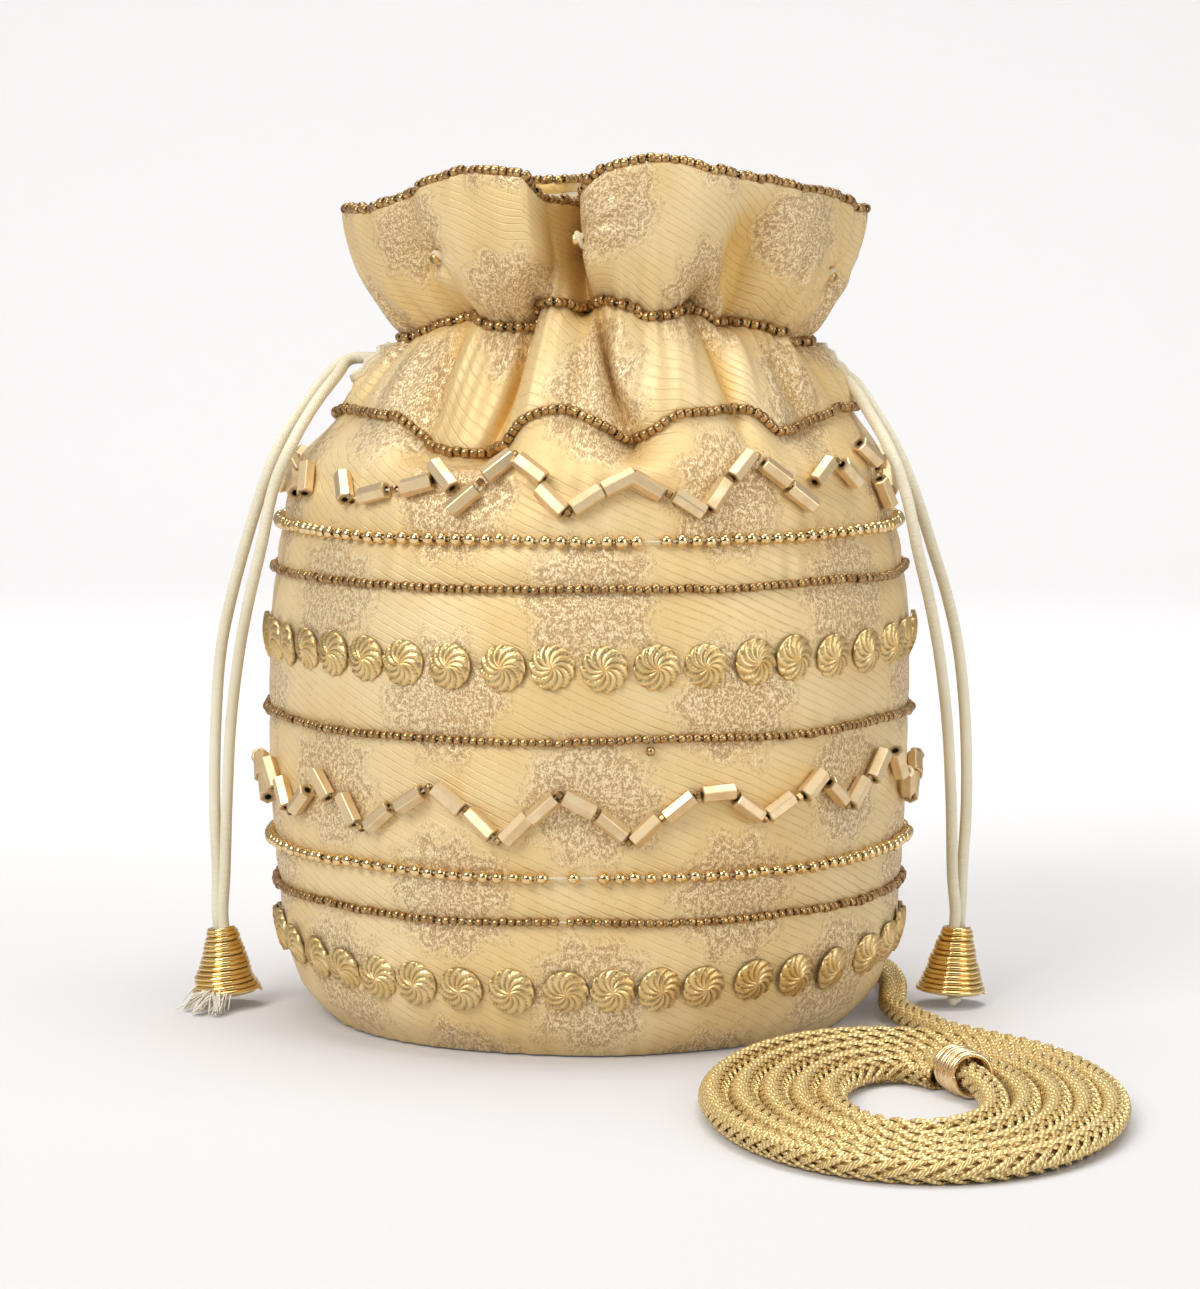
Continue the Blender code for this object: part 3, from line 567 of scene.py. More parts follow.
def tarnish_group() -> bpy.types.NodeTree:
    """Uneven polish at random, for metal beads and wire; the darker recesses are painted shade, added in Metal.
    """
    wiring, given, sink = new_group(
        "tarnish",
        {"Place": "Vector", "Bright": "Color", "Dark": "Color", "Smooth": "Float", "Dull": "Float"},
        {"Color": "Color", "Roughness": "Float", "Height": "Float"},
    )
    broad = wiring.noise(given["Place"], 260, 3, 0.6)
    fine = wiring.noise(given["Place"], 2600, 3, 0.65)
    worn = wiring.rise(broad * 0.7 + fine * 0.3, 0.38, 0.62)
    wiring.fill(
        sink, Color=wiring.mix(worn, given["Bright"], given["Dark"]),
        Roughness=wiring.between(worn, given["Smooth"], given["Dull"]), Height=fine,
    )
    return wiring.tree


def weave_group() -> bpy.types.NodeTree:
    """Over-and-under yarns of a plain weave, with slubs, on flat coordinates."""
    wiring, given, sink = new_group("weave", {"Place": "Vector", "Yarn": "Float"}, {"Height": "Float"})
    x, y, _ = wiring.split(given["Place"])
    turns = wiring.math("DIVIDE", math.pi, given["Yarn"])
    cross = wiring.math("SINE", x * turns) * wiring.math("SINE", y * turns)
    slub = wiring.noise(wiring.join(x * 0.25, y), 1500, 2)
    wiring.fill(sink, Height=cross.scaled(0.35, slub))
    return wiring.tree


@dataclass(frozen=True)
class Effects:
    """The node groups that more than one material uses."""

    tarnish: bpy.types.NodeTree
    weave: bpy.types.NodeTree


def new_material(name: str) -> tuple[bpy.types.Material, Wiring, bpy.types.Node]:
    """A material with a writer for its tree and its Principled shader."""
    material = bpy.data.materials.new(name)
    material.use_nodes = True
    return material, Wiring(material.node_tree), material.node_tree.nodes["Principled BSDF"]


@dataclass(frozen=True)
class Metal:
    """Plated metal, brighter where it is rubbed, with painted shade darkening its grooves and the ends where
    beads meet.
    """

    name: str
    bright: Colour
    dark: Colour
    smooth: float
    dull: float
    metallic: float = 1.0
    dents: float = 0.012 * MM
    painted_shade_share: float = 0.85
    painted_shade_tone: float = 0.22

    def make(self, effects: Effects) -> bpy.types.Material:
        """Builds the material."""
        material, wiring, shader = new_material(self.name)
        worn = wiring.group(
            effects.tarnish, Place=wiring.space(), Bright=self.bright, Dark=self.dark, Smooth=self.smooth,
            Dull=self.dull,
        )
        # Painted shade: the colour is mixed towards a dim copy of the dark tone by the per-point shade value,
        # highest in grooves and where beads touch.
        painted_shade_colour = tuple(self.painted_shade_tone * part for part in self.dark)
        wiring.fill(
            shader, Base_Color=wiring.mix(wiring.painted_shade() * self.painted_shade_share, worn["Color"], painted_shade_colour),
            Roughness=worn["Roughness"], Normal=wiring.bump(worn["Height"], self.dents), Metallic=self.metallic,
        )
        return material


@dataclass(frozen=True)
class Woven:
    """Plain woven or braided cloth and cord."""

    name: str
    pale: Colour
    deep: Colour
    yarn: float
    relief: float
    roughness: float = 0.8
    sheen: float = 0.2

    def make(self, effects: Effects) -> bpy.types.Material:
        """Builds the material."""
        material, wiring, shader = new_material(self.name)
        height = wiring.group(effects.weave, Place=wiring.flat(), Yarn=self.yarn)["Height"]
        stain = wiring.noise(wiring.space(), 40, 3)
        # The colour is darker where the weave dips between yarns, which is painted shade, and varies with a
        # broad noise in tone.
        share = wiring.rise(height.scaled(0.35, stain * 0.6), 0.3, 0.7)
        wiring.fill(
            shader, Base_Color=wiring.mix(share, self.deep, self.pale), Normal=wiring.bump(height, self.relief),
            Roughness=self.roughness, Sheen_Weight=self.sheen, Sheen_Roughness=0.4,
        )
        return material


@dataclass(frozen=True)
class Brocade:
    """Satin with diagonal ribs, and medallions woven in metallic yarn."""

    name: str = "brocade"
    satin: Colour = (0.82, 0.64, 0.34)
    satin_deep: Colour = (0.78, 0.56, 0.25)
    metal_yarn: Colour = (1.0, 0.90, 0.68)
    # Dark yarn of the medallions, and the tone of the painted shade along the ribs.
    dark_yarn_and_rib_shade: Colour = (0.36, 0.20, 0.10)
    # Tint of the painted shade in the cloth's recesses, warm like light bounced inside the folds.
    painted_shade: Colour = (0.72, 0.45, 0.11)
    column_pitch: float = 35 * MM
    row_pitch: float = 48.5 * MM
    first_row: float = 0.664
    medallion_radius: float = 17.5 * MM
    ring_pitch: float = 3.4 * MM
    rib_pitch: float = 2.1 * MM
    yarn: float = 0.32 * MM

    def medallions(self, wiring: Wiring, u: Signal, v: Signal) -> tuple[Signal, Signal]:
        """Where the medallions lie, and the rings and petals drawn in them.

        Args:
            wiring: Writer of the material's tree.
            u: Coordinate round the bag, in metres.
            v: Coordinate up the cloth, in metres.

        Returns:
            A mask of the patches, and a pattern between 0 and 1.
        """
        column = u / self.column_pitch + 0.5
        odd = wiring.math("MODULO", wiring.math("ABSOLUTE", wiring.math("FLOOR", column)), 2.0)
        row = odd.scaled(0.5, v / self.row_pitch) + self.first_row
        x = (wiring.math("FRACT", column) - 0.5) * self.column_pitch
        y = (wiring.math("FRACT", row) - 0.5) * self.row_pitch
        wander = wiring.noise(wiring.join(u, v), 95, 4, 0.65) - 0.5
        radius = wander.scaled(15 * MM, wiring.math("SQRT", x * x + y * y))
        angle = wiring.math("ARCTAN2", y, x)
        edge = wiring.math("COSINE", angle * 10.0).scaled(-1.3 * MM, radius)
        patch = wiring.rise(edge, self.medallion_radius - 9 * MM, self.medallion_radius + 7 * MM, 1, 0)
        waved = wiring.math("COSINE", angle * 36.0).scaled(0.35 * MM, edge)
        return patch, wiring.math("SINE", waved * (math.tau / self.ring_pitch)).scaled(0.5, 0.5)

    def make(self, effects: Effects) -> bpy.types.Material:
        """Builds the material."""
        material, wiring, shader = new_material(self.name)
        place = wiring.flat()
        u, v, _ = wiring.split(place)
        patch, rings = self.medallions(wiring, u, v)
        # Metallic yarn floats in short crooked stitches, so the patches glitter in light and dark specks
        upright = wiring.join(u, v * 0.62)
        specks = wiring.noise(upright, 3400, 2, 0.6, 0.4)
        crumbs = wiring.noise(upright, 1700, 2, 0.6, 0.7)
        ringed = rings.scaled(0.09, specks * 0.45 + crumbs * 0.55)
        soft = wiring.rise(patch, 0.0, 0.95)
        thin = (1.0 - soft) * 0.14
        dark = wiring.rise(ringed + thin, 0.57, 0.5) * soft
        glint = wiring.rise(ringed - thin, 0.58, 0.63) * soft
        dark = wiring.math("MAXIMUM", dark * 0.7, wiring.rise(crumbs, 0.34, 0.28) * 0.25)
        # Ribs of the satin ground: dashed diagonal lines, with painted shade along them
        slant = u.scaled(0.42, v * 0.91)
        bowed = wiring.noise(place, 45, 2).scaled(2.2 * MM, slant)
        line = wiring.math("ABSOLUTE", wiring.math("FRACT", bowed / self.rib_pitch) - 0.5)
        run = u.scaled(0.91, v * -0.42)
        dash = wiring.rise(wiring.noise(wiring.join(run, slant), 420, 1), 0.46, 0.56)
        rib = wiring.rise(line, 0.14, 0.02) * (1.0 - soft)
        painted_rib_shade = rib * dash * wiring.rise(wiring.noise(place, 60, 2), 0.35, 0.6)
        broad = wiring.noise(wiring.space(), 26, 3, 0.55)
        colour = wiring.mix(wiring.rise(broad, 0.35, 0.65), self.satin_deep, self.satin)
        # Painted shade tints the recesses and the rib lines; the dark and metallic yarns are the woven pattern.
        for share, tint in (
            (wiring.painted_shade() * 0.8, self.painted_shade), (painted_rib_shade * 0.22, self.dark_yarn_and_rib_shade),
            (glint * 0.6, self.metal_yarn), (dark, self.dark_yarn_and_rib_shade),
        ):
            colour = wiring.mix(share, colour, tint)
        cloth = wiring.group(effects.weave, Place=place, Yarn=self.yarn)
        fine = wiring.bump(cloth["Height"], 0.05 * MM)
        woven = wiring.bump((ringed - 0.53) * soft, 0.3 * MM, fine)
        wiring.fill(
            shader, Base_Color=colour, Metallic=glint.scaled(0.3, 0.2),
            Roughness=wiring.between(glint, 0.44, 0.28), Normal=wiring.bump(1.0 - rib, 0.1 * MM, woven),
            Sheen_Weight=0.12, Sheen_Roughness=0.35, Sheen_Tint=(1, 0.9, 0.7), Specular_IOR_Level=0.5,
        )
        return material


@dataclass(frozen=True)
class GiltYarn:
    """Twisted metallic yarn of the sling, shaded between its plies."""

    name: str = "gilt yarn"
    bright: Colour = (0.96, 0.79, 0.41)
    deep: Colour = (0.60, 0.38, 0.11)
    ply: float = 0.8 * MM

    def make(self, _: Effects) -> bpy.types.Material:
        """Builds the material."""
        material, wiring, shader = new_material(self.name)
        u, v, _ = wiring.split(wiring.flat())
        plies = wiring.math("SINE", v.scaled(0.8, u) * (math.tau / self.ply)).scaled(0.5, 0.5)
        grain = wiring.noise(wiring.join(v * 0.4, u), 2400, 3, 0.7)
        height = grain.scaled(0.6, plies * 0.6)
        share = wiring.rise(height, 0.35, 0.75)
        wiring.fill(
            shader, Base_Color=wiring.mix(share, self.deep, self.bright), Metallic=0.6,
            Roughness=wiring.between(share, 0.55, 0.3), Normal=wiring.bump(height, 0.16 * MM),
        )
        return material


class Finish(Enum):
    """The finishes of the bag's pieces."""

    BROCADE = Brocade()
    LINING = Woven("lining", (0.84, 0.76, 0.58), (0.74, 0.64, 0.45), 0.35 * MM, 0.06 * MM, 0.75)
    BOARD = Woven("board", (0.62, 0.54, 0.42), (0.5, 0.42, 0.32), 0.6 * MM, 0.05 * MM, 0.9, 0.0)
    CORD = Woven("cord", (0.88, 0.83, 0.66), (0.74, 0.67, 0.48), 0.42 * MM, 0.12 * MM, 0.85, 0.3)
    FRAY = Woven("frayed cord", (0.93, 0.90, 0.80), (0.80, 0.74, 0.60), 0.3 * MM, 0.08 * MM, 0.9, 0.3)
    THREAD = Woven("thread", (0.80, 0.70, 0.48), (0.66, 0.54, 0.32), 0.2 * MM, 0.03 * MM, 0.7)
    BRONZE = Metal("bronze beads", (0.62, 0.40, 0.17), (0.34, 0.19, 0.07), 0.20, 0.34, 0.85)
    GOLD = Metal("polished gold beads", (0.93, 0.72, 0.40), (0.80, 0.55, 0.24), 0.08, 0.2)
    ANTIQUE = Metal("antique gold", (0.93, 0.70, 0.34), (0.84, 0.58, 0.24), 0.34, 0.42, 0.9, 0.004 * MM)
    CHAMPAGNE = Metal("champagne gold", (0.86, 0.68, 0.42), (0.78, 0.58, 0.32), 0.34, 0.46, 0.85, 0.004 * MM)
    WIRE = Metal("gold wire", (0.96, 0.74, 0.34), (0.88, 0.60, 0.22), 0.12, 0.2, 1.0, 0.003 * MM)
    COPPER = Metal("rose gold wire", (0.92, 0.70, 0.42), (0.88, 0.64, 0.36), 0.24, 0.3, 1.0, 0.002 * MM)
    # The rope's core is real, but its dark brown is painted shade in the gaps between the strands.
    PAINTED_SHADE_CORE = Woven("rope core in painted shade", (0.50, 0.29, 0.08), (0.34, 0.18, 0.04), 0.5 * MM, 0.1 * MM, 0.6, 0.0)
    GILT = GiltYarn()


class Wardrobe:
    """Makes each finish once and hands it out."""

    def __init__(self) -> None:
        """Builds the effects that the finishes share."""
        self.effects = Effects(tarnish_group(), weave_group())
        self.made: dict[Finish, bpy.types.Material] = {}

    def __getitem__(self, finish: Finish) -> bpy.types.Material:
        """The material of a finish."""
        if finish not in self.made:
            self.made[finish] = finish.value.make(self.effects)
        return self.made[finish]

    def dress(self, node: str, finish: Finish) -> None:
        """Gives its finish to a CAD node that is shown as it is."""
        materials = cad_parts[node].data.materials
        materials.clear()
        materials.append(self[finish])


# Cloth


def lay_through(turn: np.ndarray, line: tuple[tuple[float, float], ...]) -> np.ndarray:
    """Height in metres of a line round the bag, through rising angles and their heights in mm."""
    at, height = zip(*line, strict=True)
    whole = (at[-1] - 360, *at, at[0] + 360)
    folded = (np.asarray(turn, float) - at[0]) % 360 + at[0]
    return MM * curve_through(folded, whole, (height[-1], *height, height[0]))


def grid_normals(grid: np.ndarray) -> np.ndarray:
    """Outward normals of a grid whose rows each go once round the bag."""
    along = np.roll(grid, -1, axis=1) - np.roll(grid, 1, axis=1)
    return unit(np.cross(along, np.gradient(grid, axis=0)))


@dataclass
class Cloth:
    """The outer cloth: a round wall, gathered over the casing, that opens in a folded ruffle."""

    seam_height: float = 0.3 * MM
    casing_height: float = 150.5 * MM
    bend_height: float = 137 * MM
    wall: tuple[tuple[float, float], ...] = (
        (0.3, 66), (8, 73), (24, 77.4), (92, 80), (137, 73), (150.5, 64.5),
    )
    neck_radius: float = 50.5 * MM
    rim_radius: float = 63.5 * MM
    puff: float = 2.2 * MM
    pleat_gain: float = 1.3
    recess: float = 14
    curl: float = 1.8
    thickness: float = 1.4 * MM
    casing_line: Table = (
        (-76, 150.8), (-51, 150.2), (-38, 143), (-28, 142.1), (-20, 144), (-15, 150.5), (-8, 153.1),
        (-2, 150.8), (8, 145.5), (13, 147.8), (18.4, 151.7), (34, 152.5), (43, 146.9), (52, 147.7),
        (72, 151.2), (92, 150.5), (112, 146.5), (150, 153), (186, 146.5), (222, 153), (252, 147),
    )
    neck_line: Table = (
        (-90, 168.2), (-71, 169.4), (-41, 174.8), (-33, 172.4), (-24.5, 172.2), (-20, 177.3), (-14, 177.5),
        (-8, 175.6), (1, 178.7), (13, 174.8), (26, 177), (36, 172.4), (46, 172.9), (70, 167.8), (90, 167.8),
        (130, 171.5), (180, 176), (230, 171.5),
    )
    rim_line: Table = (
        (-90, 199), (-66, 198.6), (-50, 202.5), (-41, 205.8), (-30, 208.1), (-21.6, 207.2), (-17, 201.5),
        (-6, 200.5), (0, 206.2), (3.5, 209.3), (13, 210.6), (24.4, 207.9), (43, 204.8), (64, 202.2),
        (80, 199), (110, 199.5), (150, 205), (182, 206.8), (220, 205), (245, 200.5),
    )
    pleats: tuple = (
        (-70, -72, 3, 6), (-46.6, -42, 4.5, 8), (-22.5, -25.2, 7, 3.6), (-8, -5.3, 3, 3), (-3, 8.5, 7, 3.8),
        (26.6, 32.5, 6.5, 4.4), (46, 56, 4.5, 7), (68, 70, 3, 6), (108, 112, 5, 7), (140, 146, 3.5, 6),
        (165, 168, 4, 6), (188, 186, 5, 7), (212, 208, 3.5, 6), (238, 240, 4, 7),
    )
    folds: tuple = (
        (-52, 3, 4, 2, 8, 8), (-7.2, 5, 13, 17, 5.0, 4.2), (38, 5, 11, 1, 8, 8),
        (106, 4, 8, 11, 8, 8), (136, 3, 6, 8, 8, 8), (165, 4, 8, 12, 9, 8),
        (194, 4, 9, 13, 8, 9), (225, 3, 6, 8, 8, 8), (256, 4, 8, 11, 8, 8),
    )
    sewn_heights: tuple = (18, 34, 45, 58.5, 77, 94, 112, 123, 134.5)
    tacks: tuple = ((-47.0, 2.5), (-3.0, 2.62), (71.0, 2.5))
    slot_levels: tuple = (1.46, 1.84)
    slot_half_angle: float = 6.0
    columns: int = 560
    circumference: float = 490 * MM
    wall_length: float = 156 * MM
    shoulder_length: float = 24 * MM
    ruffle_length: float = 42 * MM

    def level_of(self, height: np.ndarray | float) -> np.ndarray | float:
        """Level of a height on the wall."""
        return (height - self.seam_height) / (self.casing_height - self.seam_height)

    def height(self, turn: np.ndarray, level: np.ndarray) -> np.ndarray:
        """Height of the cloth."""
        plain = self.seam_height + level * (self.casing_height - self.seam_height)
        start = self.level_of(self.bend_height)
        lines = (self.casing_line, self.neck_line, self.rim_line)
        low, middle, high = (lay_through(turn, line) for line in lines)
        wall = plain + ease(level, start, 1.0) * (low - self.casing_height)
        shoulder = low + (level - 1) * (middle - low)
        ruffle = middle + (level - 2) * (high - middle)
        return np.where(level <= 1, wall, np.where(level <= 2, shoulder, ruffle))

    def plain_radius(self, level: np.ndarray) -> np.ndarray:
        """Radius of the cloth before it is gathered."""
        heights, radii = zip(*self.wall, strict=True)
        plain = self.seam_height + np.minimum(level, 1) * (self.casing_height - self.seam_height)
        wall = MM * curve_through(plain / MM, heights, radii)
        climb = np.clip(level - 1, 0, 1)
        casing_radius = radii[-1] * MM
        narrowing = climb * (self.neck_radius - casing_radius)
        shoulder = casing_radius + narrowing + self.puff * np.sin(math.pi * climb)
        open_share = 1 - np.clip(3 - level, 0, 1) ** self.curl
        ruffle = self.neck_radius + (self.rim_radius - self.neck_radius) * open_share
        return np.where(level <= 1, wall, np.where(level <= 2, shoulder, ruffle))

    def pleat_depth(self, turn: np.ndarray, level: np.ndarray) -> np.ndarray:
        """How far the shoulder's pleats pull the cloth in."""
        strength = curve_through(level, (0, 0.91, 1, 1.5, 2, 2.35, 3.2), (0, 0, 0.5, 1, 0.75, 0, 0))
        climb = np.clip(level - 1, 0, 1)
        total = 0
        for at_neck, at_casing, depth, width in self.pleats:
            centre = at_casing + climb * (at_neck - at_casing)
            valley = np.exp(-np.abs(apart(turn, centre) / width) ** 1.45)
            total = total + depth * valley
        return MM * strength * total * self.pleat_gain

    def fold_depth(self, turn: np.ndarray, level: np.ndarray) -> np.ndarray:
        """How far the ruffle's folds pull the cloth in."""
        total = 0
        for at, low, middle, high, left, right in self.folds:
            depth = curve_through(np.clip(level, 0, 3), (0, 1.87, 2, 2.5, 3), (0, 0, low, middle, high))
            offset = apart(turn, at)
            total = total + depth * bell(offset, np.where(offset < 0, left, right))
        recess = ease(apart(turn, -18.6), -2.2, 2.2) * (1 - ease(apart(turn, -5.0), -2.5, 2.5))
        return MM * (total + self.recess * recess * ease(level, 1.9, 2.5))

    def pucker(
        self, turn: np.ndarray, level: np.ndarray, at: float, where: float, reach: float, stretch: float,
    ) -> tuple[np.ndarray, np.ndarray]:
        """Where the cloth lies as seen from a stitched point.

        Args:
            turn: Angles of the cloth's points.
            level: Their levels.
            at: Angle of the stitched point.
            where: Its level.
            reach: Radius of the cloth there, in metres.
            stretch: Length of one level there, in mm.

        Returns:
            The distance from the point in mm, and the direction in radians.
        """
        across = np.radians(apart(turn, at)) * reach / MM
        along = (level - where) * stretch
        return np.hypot(across, along), np.arctan2(along, across)

    def relief(self, turn: np.ndarray, level: np.ndarray) -> np.ndarray:
        """Small unevenness of the cloth, outwards: gathers, sewn lines and slack."""
        height = self.height(turn, level) / MM
        gather = curve_through(
            level, (0, 0.93, 1.1, 1.6, 2, 2.25, 2.6, 3.2), (0, 0, 0.3, 0.75, 1, 0.7, 0.25, 0.12)
        )
        drift = turn + 2.2 * np.sin(np.radians(turn) * 5 + 1.1) * (level - 1)
        rise = gather * (0.85 * ripple(drift, 5, 26, 52) + 0.3 * ripple(drift, 6, 70, 118))
        near_neck = bell(level - 2, 0.16)
        rise = rise + near_neck * 0.35 * ripple(turn, 7, 90, 150)
        low_slack = ripple(turn, 8, 3, 9) * np.cos(height / 13 + 1.7)
        high_slack = ripple(turn, 9, 4, 12) * np.cos(height / 21 + 0.4)
        rise = rise + 0.42 * (low_slack + high_slack)
        on_wall = np.where(level <= 1, 1.0, 0.0)
        for count, sewn in enumerate(self.sewn_heights):
            away = height - sewn
            rise = rise - on_wall * 0.55 * bell(away, 2.6)
            rise = rise + on_wall * 0.13 * ripple(turn, 20 + count, 50, 95) * bell(away - 3, 4.5)
        rise = rise - 0.9 * bell(level - 1, 0.05) - 1.0 * bell(level - 2, 0.07)
        rise = rise + 0.3 * ripple(turn, 30, 46, 88) * bell(height - 2, 6)
        cockle = ripple(turn + 4 * np.cos(height / 9), 31, 9, 22) * ripple(turn, 32, 3, 8)
        rise = rise + 0.5 * cockle * ease(level, 2.15, 2.5)
        rise = rise + 0.55 * (ripple(turn, 33, 22, 44) * bell(level - 3, 0.22))
        for at, where in self.tacks:
            reach, angle = self.pucker(turn, level, at, where, self.rim_radius, 30)
            spokes = np.cos(7 * angle + at)
            rise = rise - 3.0 * bell(reach, 3.6) + 0.45 * spokes * reach / 4 * bell(reach - 4, 4.5)
        for side in (-90.0, 90.0):
            reach, angle = self.pucker(turn, level, side, 1.65, self.neck_radius, 20)
            rise = rise + 0.5 * np.cos(9 * angle) * bell(reach - 7, 4)
        return MM * rise

    def surface(self, turn: np.ndarray, level: np.ndarray) -> np.ndarray:
        """Points on the cloth's outside."""
        turn, level = np.broadcast_arrays(np.asarray(turn, float), np.asarray(level, float))
        radius = self.plain_radius(level) - self.pleat_depth(turn, level) - self.fold_depth(turn, level)
        lean = 3.4 * bell(apart(turn, -1.5), 4.5) - 3.2 * bell(apart(turn, -20.5), 3.2)
        climb = np.clip(level - 1, 0, 1)
        flap = 3.4 * bell(apart(turn, 12.5 - 11.5 * climb), 4.6)
        flap = flap - 2.2 * bell(apart(turn, -28.5 + 2.5 * climb), 4)
        turned = turn - lean * ease(level, 2.05, 2.5) - flap * bell(level - 1.5, 0.42)
        points = around(turned, radius + self.relief(turn, level), self.height(turn, level))
        points[..., 0] += MM * curve_through(level, (0, 0.85, 1, 1.5, 2, 3, 4), (0, 0, 1.8, 3.4, 4.2, 3.8, 3.8))
        return points

    def frames(self, turn: np.ndarray, level: np.ndarray) -> tuple[np.ndarray, ...]:
        """Points on the cloth with their outward, rightward and upward directions.

        Args:
            turn: Angles.
            level: Levels.

        Returns:
            The points and the three directions.
        """
        here = self.surface(turn, level)
        across = self.surface(turn + 0.4, level) - self.surface(turn - 0.4, level)
        up = self.surface(turn, level + 0.006) - self.surface(turn, level - 0.006)
        out = unit(np.cross(across, up))
        across = unit(across)
        return here, out, across, np.cross(out, across)

    def levels(self) -> np.ndarray:
        """Levels of the grid's rows, closer together where the cloth bends more."""
        wall = np.linspace(0, 1, 84)
        return np.concatenate([wall, np.linspace(1, 2, 26)[1:], np.linspace(2, 3, 40)[1:]])

    def flat(self, level: np.ndarray, columns: int) -> np.ndarray:
        """Surface coordinates of the rows, in metres of cloth."""
        reached = np.cumsum((0, self.wall_length, self.shoulder_length, self.ruffle_length, 10 * MM))
        length = np.interp(level, (0, 1, 2, 3, 4), reached)
        round_it = np.linspace(0, self.circumference, columns + 1)
        return np.stack(np.meshgrid(round_it, length), axis=-1)

    def painted_shades(self, grid: np.ndarray) -> np.ndarray:
        """How much painted shade each point of the grid gets, from 0 to 1, by how deep it lies among its
        neighbours.
        """
        radius = np.hypot(grid[..., 0], grid[..., 1])
        wide = radius
        for _ in range(3):
            wide = sum(np.roll(wide, step, axis=1) for step in range(-9, 10)) / 19
        return np.clip((wide - radius) / (3.2 * MM), 0, 1)

    def build(self, finishes: Wardrobe) -> bpy.types.Object:
        """Makes the side panel, with its hem turned over at the rim and a slot at each side."""
        turn = np.arange(self.columns) * 360 / self.columns - 180
        level = self.levels()
        grid = self.surface(turn[None], level[:, None])
        normals = grid_normals(grid)
        top = unit(grid[-1] - grid[-3])
        hem = [
            grid[-1] + top * 0.4 * MM - normals[-1] * 0.3 * MM,
            grid[-1] + top * 0.5 * MM - normals[-1] * self.thickness / 2,
            grid[-1] + top * 0.2 * MM - normals[-1] * self.thickness,
        ]
        for row in (-3, -5, -8):
            hem.append(grid[row] - normals[row] * self.thickness)
        whole = np.concatenate([grid, np.stack(hem)])
        low, high = self.slot_levels
        between = (level[:-1] > low) & (level[1:] < high)
        middle = turn + 180 / self.columns
        beside = np.abs(np.abs(apart(middle, 0)) - 90) < self.slot_half_angle
        holes = np.zeros((len(whole) - 1, self.columns), bool)
        holes[: len(level) - 1] = between[:, None] & beside[None]
        flat_level = np.concatenate([level, [3.02, 3.05, 3.1, 3.2, 3.4, 3.6]])
        flat = self.flat(flat_level, self.columns)
        pile = Pile()
        # The deeper points of the folds get painted shade from this value.
        pile.add_grid(whole, flat, closed=True, holes=holes, painted_shade=self.painted_shades(whole))
        piece = pile.build("brocade_side", finishes[Finish.BROCADE])
        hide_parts("side_panel")
        return piece

    def build_slots(self, finishes: Wardrobe) -> None:
        """Binds the edge of each slot with a puckered roll of lining cloth."""
        low, high = self.slot_levels
        share = np.linspace(0, math.tau, 49)[:-1]
        along, upward = (np.sign(wave) * np.abs(wave) ** 0.5 for wave in (np.cos(share), np.sin(share)))
        for name, side in (("left", -90.0), ("right", 90.0)):
            wide = along * (self.slot_half_angle + 0.4)
            tall = upward * (high - low) * 0.56
            here, out, _, _ = self.frames(side + wide, (low + high) / 2 + tall)
            pile = Pile()
            for offset, radius, seed in ((0.35, 0.95, 3), (1.1, 0.75, 4)):
                ring = here + out * offset * MM
                path = np.concatenate([ring, ring[:2]])
                pile.add_tube(path, radius * MM * (1 + 0.18 * np.cos(np.arange(len(path)) * 2.4 + seed)), 10)
            piece = pile.build(f"slot_binding_{name}", finishes[Finish.LINING])


